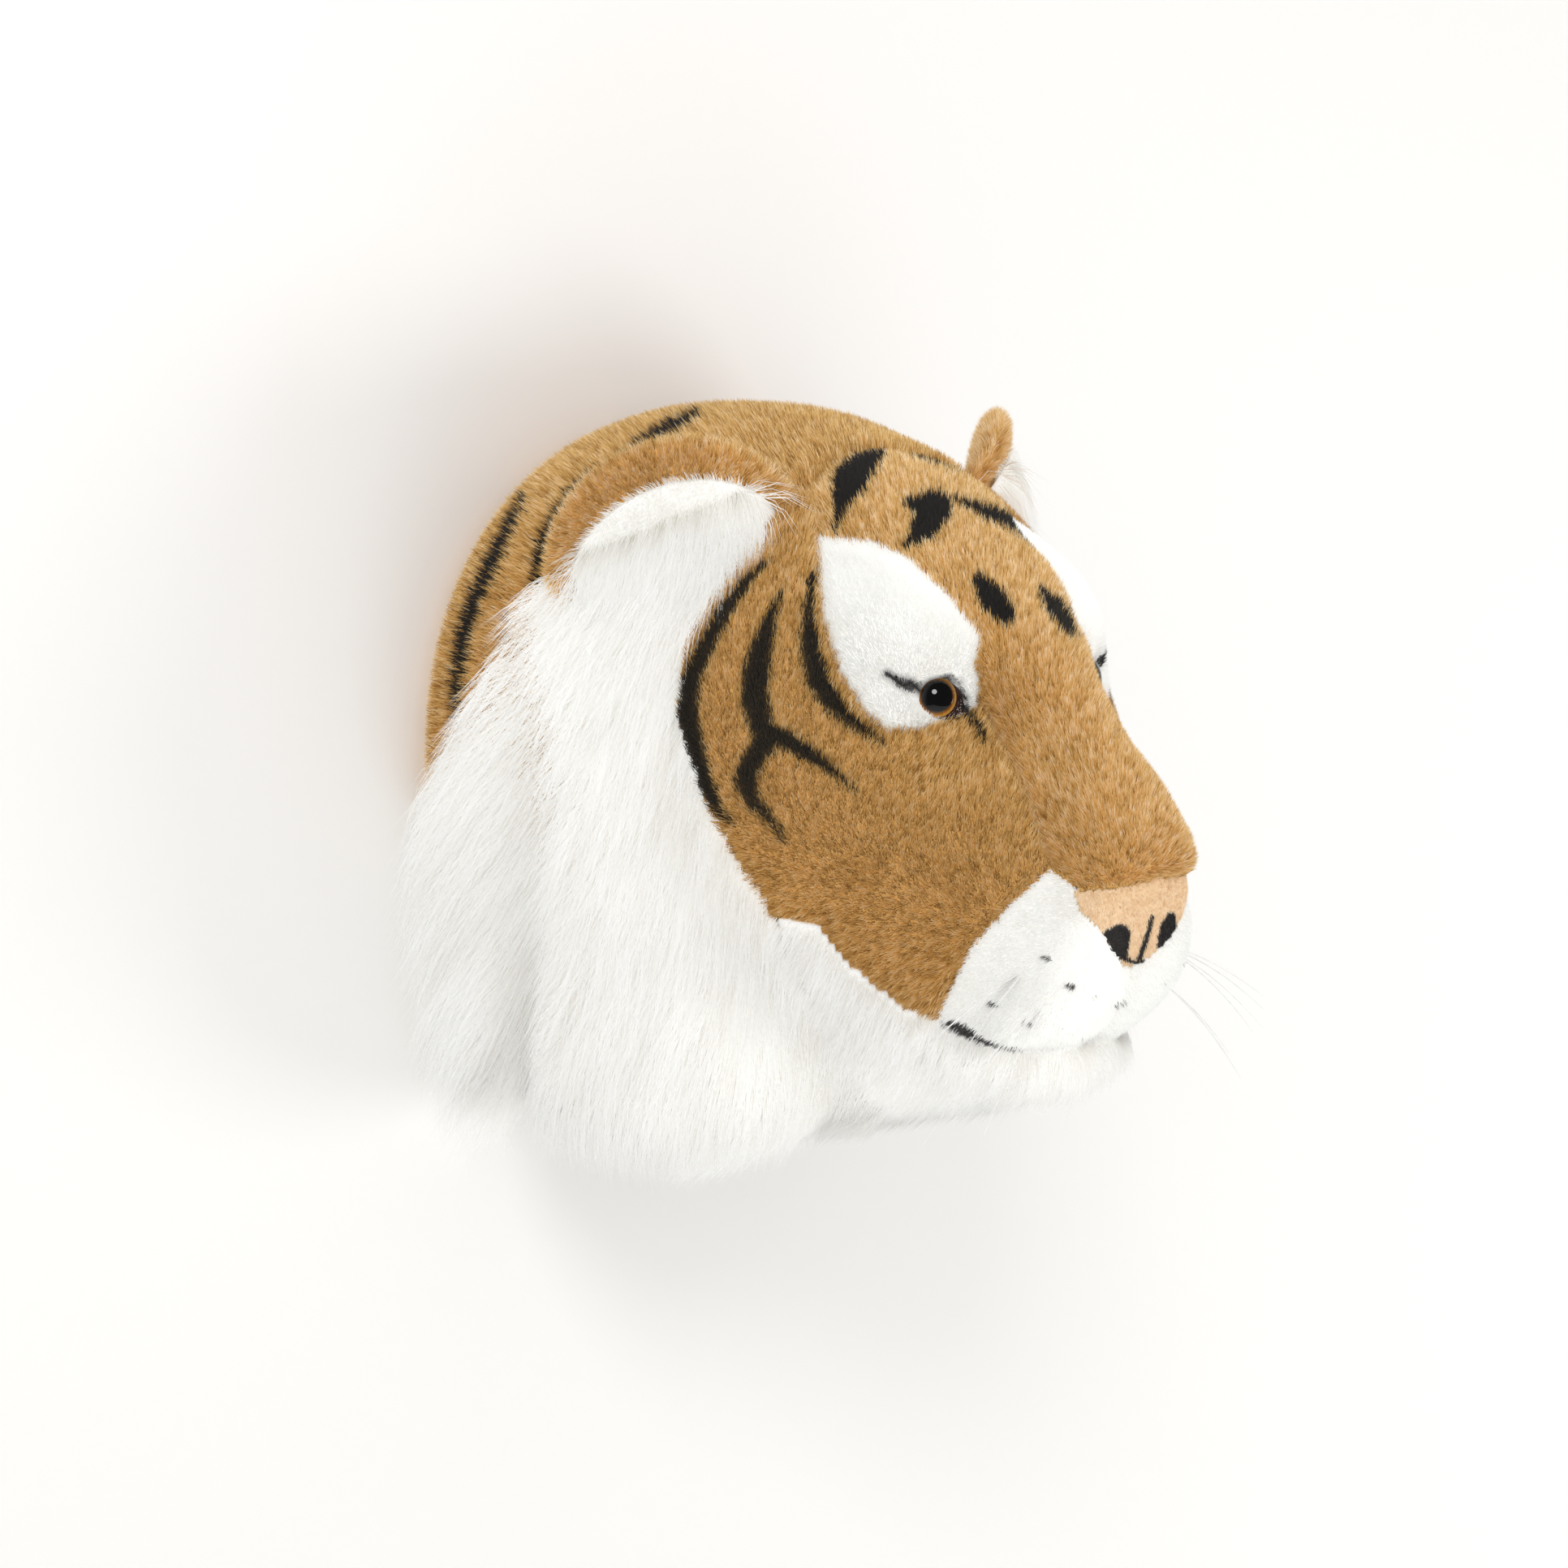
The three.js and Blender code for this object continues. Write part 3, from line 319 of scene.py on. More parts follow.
outlines = {
    "eyePatch": seams["eyePatch"],
    "lip": seams["lip"],
    "neckSide": [*seams["valley"], [-25, -200], [-200, -200], [-200, 78], [-38, 78]],
    "bridge": [*seams["brow"], *seams["nose"], [tipAt[0] - 20, tipAt[1] - 25], [far, tipAt[1] - 25],
               [far, 200], [seams["brow"][0][0], 200]],
    "chin": [*seams["cheek"], *seams["mouth"], [far, seams["mouth"][-1][1]], [far, -200], [112, -200],
             *seams["jaw"][:0:-1]],
    "ruffFront": [*seams["ruff"], *seams["jaw"][1:], [112, -200], [-25, -200], *seams["valley"][::-1],
                  *seams["ruffTop"]],
    "ruffBack": [*seams["valley"], [-25, -200], [-200, -200], *seams["ruffBack"][::-1]],
}


def quarterOf(points):
    return np.stack([-np.abs(points[:, 0]) * quarterCos - points[:, 1] * quarterSin, points[:, 2]], 1)


# Distance to an outline, positive inside it
def insideOf(outline, at):
    corners = np.array(outline, float)
    nearest = np.full(len(at), 1e9)
    within = np.zeros(len(at), bool)
    for a, b in zip(corners, np.roll(corners, -1, 0)):
        t = np.clip(((at - a) @ (b - a)) / max((b - a) @ (b - a), 1e-9), 0, 1)
        nearest = np.minimum(nearest, np.linalg.norm(at - a - t[:, None] * (b - a), axis=1))
        if a[1] != b[1]:
            crosses = (a[1] > at[:, 1]) != (b[1] > at[:, 1])
            within ^= crosses & (at[:, 0] < (b[0] - a[0]) * (at[:, 1] - a[1]) / (b[1] - a[1]) + a[0])
    return np.where(within, nearest, -nearest)


# How far each point is inside each panel of the skin. Panels are cut in the order they are sewn.
def panelDepths(points):
    depth, height = -points[:, 1], points[:, 2]
    quarter = quarterOf(points)
    pad = np.minimum(insideOf(seams["nosePad"], points[:, [0, 2]]), depth - headForm["depth"] / 2)
    plan = np.stack([-np.abs(points[:, 0]), points[:, 1]], 1)
    neck = np.minimum(insideOf(seams["neckTop"], plan), height - seams["neckSeamHeight"])
    neck = np.maximum.reduce([neck, insideOf(outlines["neckSide"], quarter), seams["neckBand"] - depth])
    throat = np.minimum.reduce([seams["throatHalf"] - np.abs(points[:, 0]), seams["throatTop"] - height,
                                seams["throatFront"] - depth])
    own = {
        "nosePad": pad,
        "eyePatch": insideOf(outlines["eyePatch"], quarter),
        "lip": insideOf(outlines["lip"], quarter),
        "neck": neck,
        "bridge": insideOf(outlines["bridge"], quarter),
        "chin": insideOf(outlines["chin"], quarter),
        "throat": throat,
        "ruffFront": insideOf(outlines["ruffFront"], quarter),
        "cheek": np.full(len(points), 60.0),  # well inside: it takes what the others leave
    }
    left = np.full(len(points), 1e9)
    result = {}
    for name, value in own.items():
        result[name] = np.minimum(value, left)
        left = np.minimum(left, -value)
    result["ruffBack"] = np.minimum(insideOf(outlines["ruffBack"], quarter), depth - seams["ruffBackBand"])
    return result


def ease(value, start, end):
    t = np.clip((value - start) / (end - start), 0, 1)
    return t * t * (3 - 2 * t)


# Rises from a share of something to all of it
def risesFrom(value, share, start, end):
    return share + (1 - share) * ease(value, start, end)


# A seam as a line that is read at a height
def byHeight(seam):
    return sorted([height, quarter] for quarter, height in seam)


# Room that the long pile of the ruff takes above the skin
ruffRoom = {"pile": [[-100, 38], [-70, 50], [-30, 20], [20, 9]], "edge": 5, "rise": 26, "parting": 9,
            "crownStart": 60, "crownEnd": 110, "frontDepth": 104, "endDepth": 158, "sideStart": 75,
            "atSeam": 0.3, "inParting": 0.6, "atJaw": 0.15, "byThroat": 0.2, "sag": 0.4}


def ruffLift(points):
    room = ruffRoom
    quarter, height = quarterOf(points).T
    throat = headForm["throat"]
    pile = smoothLine(room["pile"], 100 * height / throat)
    seamAt = smoothLine(byHeight([*seams["ruff"], *seams["jaw"][1:]]), height)
    behind = risesFrom(seamAt - quarter, room["atSeam"], 0, room["rise"])
    fromValley = quarter - smoothLine(byHeight(seams["valley"]), height)
    parting = 1 - (1 - room["inParting"]) * np.exp(-(fromValley / room["parting"]) ** 2)
    crown = 1 - ease(height, room["crownStart"], room["crownEnd"])
    under = ease(-height, throat / 2, throat)
    jaw = 1 - (1 - room["atJaw"]) * under * ease(-points[:, 1], room["frontDepth"], room["endDepth"])
    side = risesFrom(np.abs(points[:, 0]), room["byThroat"], seams["throatHalf"], room["sideStart"])
    return np.maximum(room["edge"], pile * behind * parting * crown * jaw * side)


# The head's surface, with what is known at each of its points

class Surface:
    def __init__(self, rows, around):
        grid = swollen(headGrid(rows, around))
        self.normals = gridNormals(grid).reshape(-1, 3)
        self.points = grid.reshape(-1, 3)
        self.faces = gridFaces(rows + len(headForm["fold"]), around)
        self.inside = panelDepths(self.points)
        self.lift = ruffLift(self.points)


fine = Surface(300, 380)
print("head surface:", len(fine.points), "points")


# Pile: one tree of nodes scatters strands over a cloth and bends them along its attributes

pileInputs = [("Density", "NodeSocketFloat", 1e6), ("Spacing", "NodeSocketFloat", 0.0004),
              ("Seed", "NodeSocketInt", 1), ("Segments", "NodeSocketInt", 1),
              ("Width", "NodeSocketFloat", 0.0005), ("Length Spread", "NodeSocketFloat", 0.3),
              ("Jitter", "NodeSocketFloat", 0.3), ("Lie Spread", "NodeSocketFloat", 0.12),
              ("Clump Size", "NodeSocketFloat", 0.002), ("Clump", "NodeSocketFloat", 0.5),
              ("Hang", "NodeSocketFloat", 0.0), ("Tone Spread", "NodeSocketFloat", 0.2),
              ("Coat Light", "NodeSocketFloat", 0.75), ("Material", "NodeSocketMaterial", None)]
# what the lean of a strand takes from its rise and gives to its run, near the root and at the tip
strandFacts = {"riseLoss": -0.35, "fall": -0.45, "earlyRun": 0.55, "lateRun": 0.5}
# the map that the finish reads: width of a strand, and what runs from the root to the tip
mapFacts = {"across": 0.0006, "foot": 0.02, "rise": 0.48, "ripe": 0.42, "margin": 0.01}


def buildPileTree():
    tree, given = newTree("pile", pileInputs)
    named = {}
    for name, kind in (("comb", "FLOAT_VECTOR"), ("lie", "FLOAT"), ("pile", "FLOAT"), ("thick", "FLOAT"),
                       ("inside", "FLOAT"), ("tone", "FLOAT")):
        named[name] = addNode(tree, "GeometryNodeInputNamedAttribute", {"Name": name},
                              data_type=kind).outputs["Attribute"]

    # roots of the strands, only inside the seams
    within = addNode(tree, "ShaderNodeMath", {0: named["inside"], 1: 0.0}, operation="GREATER_THAN")
    share = addNode(tree, "ShaderNodeMath", {0: within.outputs[0], 1: named["thick"]}, operation="MULTIPLY")
    roots = addNode(tree, "GeometryNodeDistributePointsOnFaces",
                    {"Mesh": given["Geometry"], "Distance Min": given["Spacing"],
                     "Density Max": given["Density"], "Density Factor": share.outputs[0],
                     "Seed": given["Seed"]}, distribute_method="POISSON")
    place = addNode(tree, "GeometryNodeInputPosition").outputs[0]
    normal = roots.outputs["Normal"]

    # the way each strand lies: the comb direction with some disorder, flat on the cloth
    stray = addNode(tree, "FunctionNodeRandomValue", {0: (-1, -1, -1), 1: (1, 1, 1), "Seed": 11},
                    data_type="FLOAT_VECTOR")
    strayed = addNode(tree, "ShaderNodeVectorMath", {0: stray.outputs[0], "Scale": given["Jitter"]},
                      operation="SCALE")
    way = addNode(tree, "ShaderNodeVectorMath", {0: named["comb"], 1: strayed.outputs[0]}, operation="ADD")
    rising = addNode(tree, "ShaderNodeVectorMath", {0: way.outputs[0], 1: normal}, operation="DOT_PRODUCT")
    risen = addNode(tree, "ShaderNodeVectorMath", {0: normal, "Scale": rising.outputs["Value"]},
                    operation="SCALE")
    flat = addNode(tree, "ShaderNodeVectorMath", {0: way.outputs[0], 1: risen.outputs[0]},
                   operation="SUBTRACT")
    along = addNode(tree, "ShaderNodeVectorMath", {0: flat.outputs[0]}, operation="NORMALIZE")

    # clumps: tips are drawn to the middle of the cell that they stand in
    cells = addNode(tree, "ShaderNodeMath", {0: 1.0, 1: given["Clump Size"]}, operation="DIVIDE")
    clumps = addNode(tree, "ShaderNodeTexVoronoi", {"Vector": place, "Scale": cells.outputs[0]},
                     voronoi_dimensions="3D", feature="F1")
    pull = addNode(tree, "ShaderNodeVectorMath", {0: clumps.outputs["Position"], 1: place},
                   operation="SUBTRACT")
    pullUp = addNode(tree, "ShaderNodeVectorMath", {0: pull.outputs[0], 1: normal}, operation="DOT_PRODUCT")
    pullRise = addNode(tree, "ShaderNodeVectorMath", {0: normal, "Scale": pullUp.outputs["Value"]},
                       operation="SCALE")
    pulled = addNode(tree, "ShaderNodeVectorMath", {0: pull.outputs[0], 1: pullRise.outputs[0]},
                     operation="SUBTRACT")
    drawn = addNode(tree, "ShaderNodeVectorMath", {0: pulled.outputs[0], "Scale": given["Clump"]},
                    operation="SCALE")

    # length, lie and tone of each strand
    shortest = addNode(tree, "ShaderNodeMath", {0: 1.0, 1: given["Length Spread"]}, operation="SUBTRACT")
    longer = addNode(tree, "FunctionNodeRandomValue", {2: shortest.outputs[0], 3: 1.0, "Seed": 12},
                     data_type="FLOAT")
    size = addNode(tree, "ShaderNodeMath", {0: named["pile"], 1: longer.outputs[1]}, operation="MULTIPLY")
    unrest = addNode(tree, "FunctionNodeRandomValue", {2: -1.0, 3: 1.0, "Seed": 13}, data_type="FLOAT")
    lean = addNode(tree, "ShaderNodeMath", {0: unrest.outputs[1], 1: given["Lie Spread"], 2: named["lie"]},
                   operation="MULTIPLY_ADD")
    clumpTone = addNode(tree, "ShaderNodeSeparateXYZ", {0: clumps.outputs["Color"]})
    strandTone = addNode(tree, "FunctionNodeRandomValue", {2: -1.0, 3: 0.0, "Seed": 14}, data_type="FLOAT")
    tones = addNode(tree, "ShaderNodeMath", {0: clumpTone.outputs[0], 1: strandTone.outputs[1]},
                    operation="ADD")
    tone = addNode(tree, "ShaderNodeMath", {0: tones.outputs[0], 1: given["Tone Spread"], 2: named["tone"]},
                   operation="MULTIPLY_ADD")

    kept = roots.outputs["Points"]
    for name, kind, value in (("root", "FLOAT_VECTOR", place), ("out", "FLOAT_VECTOR", normal),
                              ("along", "FLOAT_VECTOR", along.outputs[0]),
                              ("drawn", "FLOAT_VECTOR", drawn.outputs[0]), ("size", "FLOAT", size.outputs[0]),
                              ("lean", "FLOAT", lean.outputs[0]), ("shade", "FLOAT", tone.outputs[0])):
        kept = addNode(tree, "GeometryNodeStoreNamedAttribute",
                       {"Geometry": kept, "Name": name, "Value": value}, data_type=kind,
                       domain="POINT").outputs[0]

    # one strand: a three-sided blade that tapers to a point
    blade = addNode(tree, "GeometryNodeMeshCone",
                    {"Vertices": 3, "Side Segments": given["Segments"], "Radius Top": 0.0,
                     "Radius Bottom": 1.0, "Depth": 1.0}, fill_type="NGON")
    blade = addNode(tree, "GeometryNodeStoreNamedAttribute",
                    {"Geometry": blade.outputs["Mesh"], "Name": "blade",
                     "Value": addNode(tree, "GeometryNodeInputPosition").outputs[0]},
                    data_type="FLOAT_VECTOR", domain="POINT")
    strands = addNode(tree, "GeometryNodeInstanceOnPoints", {"Points": kept, "Instance": blade.outputs[0]})
    solid = addNode(tree, "GeometryNodeRealizeInstances", {"Geometry": strands.outputs[0]})

    # bend of the strand: it leaves along the normal and turns to the way it lies
    read = {}
    for name, kind in (("root", "FLOAT_VECTOR"), ("out", "FLOAT_VECTOR"), ("along", "FLOAT_VECTOR"),
                       ("drawn", "FLOAT_VECTOR"), ("blade", "FLOAT_VECTOR"), ("size", "FLOAT"),
                       ("lean", "FLOAT")):
        read[name] = addNode(tree, "GeometryNodeInputNamedAttribute", {"Name": name},
                             data_type=kind).outputs["Attribute"]
    parts = addNode(tree, "ShaderNodeSeparateXYZ", {0: read["blade"]}).outputs
    t = parts[2]
    square = addNode(tree, "ShaderNodeMath", {0: t, 1: t}, operation="MULTIPLY").outputs[0]
    slow = addNode(tree, "ShaderNodeMath", {0: read["lean"], 1: strandFacts["riseLoss"], 2: 1.0},
                   operation="MULTIPLY_ADD")
    first = addNode(tree, "ShaderNodeMath", {0: slow.outputs[0], 1: t}, operation="MULTIPLY")
    fall = addNode(tree, "ShaderNodeMath", {0: read["lean"], 1: strandFacts["fall"]}, operation="MULTIPLY")
    rise = addNode(tree, "ShaderNodeMath", {0: fall.outputs[0], 1: square, 2: first.outputs[0]},
                   operation="MULTIPLY_ADD")
    early = addNode(tree, "ShaderNodeMath", {0: t, 1: strandFacts["earlyRun"]}, operation="MULTIPLY")
    late = addNode(tree, "ShaderNodeMath", {0: square, 1: strandFacts["lateRun"], 2: early.outputs[0]},
                   operation="MULTIPLY_ADD")
    run = addNode(tree, "ShaderNodeMath", {0: late.outputs[0], 1: read["lean"]}, operation="MULTIPLY")
    upPart = addNode(tree, "ShaderNodeVectorMath", {0: read["out"], "Scale": rise.outputs[0]},
                     operation="SCALE")
    runPart = addNode(tree, "ShaderNodeVectorMath", {0: read["along"], "Scale": run.outputs[0]},
                      operation="SCALE")
    hangBy = addNode(tree, "ShaderNodeMath", {0: square, 1: given["Hang"]}, operation="MULTIPLY")
    hangPart = addNode(tree, "ShaderNodeVectorMath", {0: (0, 0, -1), "Scale": hangBy.outputs[0]},
                       operation="SCALE")
    curve = addNode(tree, "ShaderNodeVectorMath", {0: upPart.outputs[0], 1: runPart.outputs[0]},
                    operation="ADD")
    curve = addNode(tree, "ShaderNodeVectorMath", {0: curve.outputs[0], 1: hangPart.outputs[0]},
                    operation="ADD")
    curve = addNode(tree, "ShaderNodeVectorMath", {0: curve.outputs[0], "Scale": read["size"]},
                    operation="SCALE")
    clumped = addNode(tree, "ShaderNodeVectorMath", {0: read["drawn"], "Scale": square}, operation="SCALE")
    curve = addNode(tree, "ShaderNodeVectorMath", {0: curve.outputs[0], 1: clumped.outputs[0]},
                    operation="ADD")
    spine = addNode(tree, "ShaderNodeVectorMath", {0: read["root"], 1: curve.outputs[0]}, operation="ADD")

    # thickness, across the strand
    side = addNode(tree, "ShaderNodeVectorMath", {0: read["out"], 1: read["along"]},
                   operation="CROSS_PRODUCT")
    leftOver = addNode(tree, "ShaderNodeMath", {0: 1.0, 1: read["lean"]}, operation="SUBTRACT")
    headingUp = addNode(tree, "ShaderNodeVectorMath", {0: read["out"], "Scale": leftOver.outputs[0]},
                        operation="SCALE")
    heading = addNode(tree, "ShaderNodeVectorMath",
                      {0: read["along"], 1: read["lean"], 2: headingUp.outputs[0]}, operation="MULTIPLY_ADD")
    upper = addNode(tree, "ShaderNodeVectorMath", {0: side.outputs[0], 1: heading.outputs[0]},
                    operation="CROSS_PRODUCT")
    upper = addNode(tree, "ShaderNodeVectorMath", {0: upper.outputs[0]}, operation="NORMALIZE")
    half = addNode(tree, "ShaderNodeMath", {0: given["Width"], 1: 0.5}, operation="MULTIPLY")
    sideBy = addNode(tree, "ShaderNodeMath", {0: parts[0], 1: half.outputs[0]}, operation="MULTIPLY")
    upperBy = addNode(tree, "ShaderNodeMath", {0: parts[1], 1: half.outputs[0]}, operation="MULTIPLY")
    sidePart = addNode(tree, "ShaderNodeVectorMath", {0: side.outputs[0], "Scale": sideBy.outputs[0]},
                       operation="SCALE")
    upperPart = addNode(tree, "ShaderNodeVectorMath", {0: upper.outputs[0], "Scale": upperBy.outputs[0]},
                        operation="SCALE")
    offset = addNode(tree, "ShaderNodeVectorMath", {0: sidePart.outputs[0], 1: upperPart.outputs[0]},
                     operation="ADD")
    final = addNode(tree, "ShaderNodeVectorMath", {0: spine.outputs[0], 1: offset.outputs[0]},
                    operation="ADD")
    bent = addNode(tree, "GeometryNodeSetPosition", {"Geometry": solid.outputs[0],
                                                    "Position": final.outputs[0]})

    # fine fibres scatter light among themselves, so each strand is shaded partly like the coat it is in
    outward = addNode(tree, "ShaderNodeVectorMath", {0: offset.outputs[0]}, operation="NORMALIZE")
    shading = addNode(tree, "ShaderNodeMix", {"Factor": given["Coat Light"], 4: outward.outputs[0],
                                              5: read["out"]}, data_type="VECTOR")
    shaded = addNode(tree, "GeometryNodeSetMeshNormal", {"Mesh": bent.outputs[0],
                                                         "Custom Normal": shading.outputs[1]},
                     mode="FREE", domain="POINT")

    # map: across is the tone, which the marks are drawn in later, and up runs from root to tip
    acrossMap = addNode(tree, "ShaderNodeMath", {0: parts[0], 1: mapFacts["across"]}, operation="MULTIPLY")
    upMap = addNode(tree, "ShaderNodeMath", {0: t, 1: mapFacts["rise"], 2: mapFacts["foot"]},
                    operation="MULTIPLY_ADD")
    onMap = addNode(tree, "ShaderNodeCombineXYZ", {0: acrossMap.outputs[0], 1: upMap.outputs[0]})
    mapped = addNode(tree, "GeometryNodeStoreNamedAttribute",
                     {"Geometry": shaded.outputs[0], "Name": "OFBake", "Value": onMap.outputs[0]},
                     data_type="FLOAT2", domain="CORNER")
    dyed = addNode(tree, "GeometryNodeSetMaterial",
                   {"Geometry": mapped.outputs[0], "Material": given["Material"]})
    addNode(tree, "NodeGroupOutput", {0: dyed.outputs[0]})
    return tree


pileTree = buildPileTree()
print("pile tree:", len(pileTree.nodes), "nodes")


dyeFacts = {"undyed": 0.26,  # strands that aren't dyed are no darker than this tone
            "darkSpread": 0.06, "seed": 5,
            "rootPart": 0.45, "tipPart": 0.55}  # a strand is seen between its root and its tip
wallGap = 0.0003  # nothing stands behind the wall plane


# Values of a mesh's points or corners, as one row of numbers
def readPoints(data, field, size):
    values = np.zeros(len(data) * size, np.float32)
    data.foreach_get(field, values)
    return values


# Grows the pile of one piece. Facts hold the tree's inputs, and dye the marks that are dyed in it.
def growPile(name, points, faces, fields, facts, material, dye=None):
    mesh = makeMesh(name + "_ground", points, faces)
    for field, value in fields.items():
        isVector = value.ndim == 2
        layer = mesh.attributes.new(field, "FLOAT_VECTOR" if isVector else "FLOAT", "POINT")
        layer.data.foreach_set("vector" if isVector else "value", value.astype(np.float32).ravel())
    grown = madeBy(pileTree, mesh, {**facts, "Material": material})
    grown.name = name
    each = 3 * facts["Segments"] + 1
    count = len(grown.vertices) // each
    spots = readPoints(grown.vertices, "co", 3).reshape(count, each, 3)
    tones = readPoints(grown.attributes["shade"].data, "value", 1)
    tones = np.maximum(tones.reshape(count, each)[:, 0], dyeFacts["undyed"])
    if dye and dye["marks"]:
        root = readPoints(grown.attributes["root"].data, "vector", 3).reshape(count, each, 3)[:, 0]
        blade = readPoints(grown.attributes["blade"].data, "vector", 3).reshape(count, each, 3)
        tip = spots[:, int(blade[0, :, 2].argmax())]
        tones = dyed((dyeFacts["rootPart"] * root + dyeFacts["tipPart"] * tip) / mm, tones, dye)
    spots[..., 1] = np.minimum(spots[..., 1], -wallGap)
    grown.vertices.foreach_set("co", spots.ravel())
    corners = np.zeros(len(grown.loops), np.int32)
    grown.loops.foreach_get("vertex_index", corners)
    chart = grown.uv_layers["OFBake"].data
    places = readPoints(chart, "uv", 2).reshape(-1, 2)
    places[:, 0] += np.clip(tones, mapFacts["margin"], 1 - mapFacts["margin"])[corners // each]
    chart.foreach_set("uv", places.ravel())
    for field in [a.name for a in grown.attributes]:
        if field in ("root", "out", "along", "drawn", "size", "lean", "shade", "blade", *fields):
            grown.attributes.remove(grown.attributes[field])
    piece = addObject(name, grown)
    piece.visible_shadow = False  # strands let light through, and the dense pile under them throws the shadow
    print("pile", name, count, "strands,", count * (6 * facts["Segments"] - 2), "triangles")
    return piece


# Which way the pile lies: sideways from the middle, towards the wall, and up
combs = {"eyePatch": [0.2, 0.5, 0.9], "lip": [0.4, 0.8, -0.35], "nosePad": [0, 0.1, -1],
         "chin": [0.15, 0.55, -0.9], "throat": [0, 0.9, -0.6], "ruffBack": [0.36, 0.8, -1]}
bridgeComb = {"side": 0.25, "halfWidth": 40, "back": 0.55}
cheekComb = {"browSide": -0.5, "jawSide": 0.1, "back": 0.25, "moreBack": 0.9, "up": 0.9, "lessUp": 1.15,
             "turn": (-20, 75), "behind": 200, "behindShare": 0.35}
neckComb = {"side": 0.25, "up": 0.1, "moreUp": 0.35, "turn": (0, 120)}
ruffComb = {"side": 0.1, "back": 0.12, "moreBack": 0.25, "turn": (20, 120), "overParting": 0.6, "width": 14}


# Four panels are combed in ways that change over them: the bridge spreads from the middle, the cheek turns
# from the brow down to the jaw, the neck rises towards the crown, and the ruff falls back over its parting
def combOf(kind, points):
    across, depth, height = np.abs(points[:, 0]), -points[:, 1], points[:, 2]
    if kind == "bridge":
        way = [bridgeComb["side"] * across / bridgeComb["halfWidth"], bridgeComb["back"], 1]
    elif kind == "cheek":
        comb = cheekComb
        toJaw = ease(-height + comb["behindShare"] * (comb["behind"] - depth), *comb["turn"])
        way = [(1 - toJaw) * comb["browSide"] + toJaw * comb["jawSide"],
               comb["back"] + comb["moreBack"] * toJaw, comb["up"] - comb["lessUp"] * toJaw]
    elif kind == "neck":
        way = [neckComb["side"], 1, neckComb["up"] + neckComb["moreUp"] * ease(height, *neckComb["turn"])]
    elif kind == "ruffFront":
        comb = ruffComb
        fromParting = quarterOf(points)[:, 0] - smoothLine(byHeight(seams["valley"]), height)
        over = comb["overParting"] * np.exp(-(fromParting / comb["width"]) ** 2)
        way = [comb["side"], comb["back"] + comb["moreBack"] * ease(-height, *comb["turn"]) + over, -1]
    else:
        way = combs[kind]
    sideways, back, up = [part * np.ones(len(points)) for part in way]
    return np.stack([sideways * -np.sign(-points[:, 0] + 1e-6), back, up], 1)


# Marks that are dyed in the pile, as paths in the photograph: [across, down, width] in pixels

neckMarks = [
    [[642, 612, 8], [622, 655, 16], [600, 700, 19], [582, 742, 18], [568, 790, 20], [560, 840, 14],
     [558, 885, 5]],
    [[858, 510, 10], [828, 524, 17], [796, 540, 13], [764, 562, 6]],
    [[735, 575, 8], [700, 612, 19], [668, 668, 18], [655, 715, 8]],
]
crownMarks = [
    [[1018, 514, 20], [996, 526, 34], [980, 545, 16]],
    [[1088, 556, 8], [1062, 574, 34], [1046, 592, 44], [1036, 618, 22], [1028, 650, 6]],
    [[1118, 618, 10], [1150, 626, 46], [1140, 648, 34], [1116, 670, 8]],
    [[1208, 716, 20], [1224, 738, 34], [1238, 756, 26], [1244, 764, 10]],
    [[1108, 549, 6], [1150, 562, 16], [1196, 574, 16], [1235, 590, 10], [1254, 602, 5]],
    [[1172, 612, 6], [1205, 626, 16], [1240, 640, 18], [1272, 662, 16], [1300, 690, 6]],
    [[1284, 728, 10], [1300, 748, 24], [1316, 770, 18], [1322, 782, 8]],
    [[1186, 872, 8], [1198, 882, 11], [1206, 894, 11], [1213, 908, 8]],
]
cheekMarks = [
    [[948, 688, 4], [918, 716, 14], [892, 752, 20], [868, 798, 22], [850, 838, 24], [846, 880, 30],
     [855, 930, 28], [868, 968, 24], [884, 996, 14], [900, 1014, 4]],
    [[962, 728, 4], [944, 774, 20], [933, 820, 34], [930, 862, 36], [938, 896, 30], [944, 920, 26]],
    [[944, 908, 26], [928, 936, 30], [917, 962, 28], [930, 990, 18], [950, 1010, 12], [966, 1036, 4]],
    [[938, 900, 26], [968, 910, 26], [1000, 930, 20], [1028, 950, 12], [1056, 974, 4]],
    [[1186, 872, 8], [1198, 882, 11], [1206, 894, 11], [1213, 908, 8]],
    [[1003, 706, 8], [996, 750, 14], [998, 796, 24], [1008, 838, 30], [1030, 870, 24], [1056, 892, 16],
     [1088, 914, 5]],
]
eyeMarks = [
    [[1092, 830, 4], [1110, 840, 12], [1130, 848, 16], [1142, 850, 10]],
    [[1140, 848, 8], [1152, 838, 7], [1170, 835, 8], [1182, 845, 9], [1188, 862, 8], [1192, 872, 7]],
    [[1188, 872, 8], [1198, 882, 9], [1206, 894, 10], [1213, 908, 7], [1214, 912, 4]],
]
cornerMarks = [[[1162, 1262, 8], [1180, 1268, 12], [1194, 1276, 6]]]
mouthMarks = [[[1170, 1262, 8], [1186, 1270, 12], [1204, 1282, 9], [1226, 1291, 6], [1262, 1299, 4]]]
dotMarks = [[1287, 1181], [1317, 1216], [1345, 1228], [1372, 1238], [1221, 1238], [1265, 1262],
            [1295, 1274], [1328, 1277]]
dotFacts = {"halfWide": 4, "halfHigh": 2, "width": 4, "reach": 5}  # pixels, and the reach in millimetres
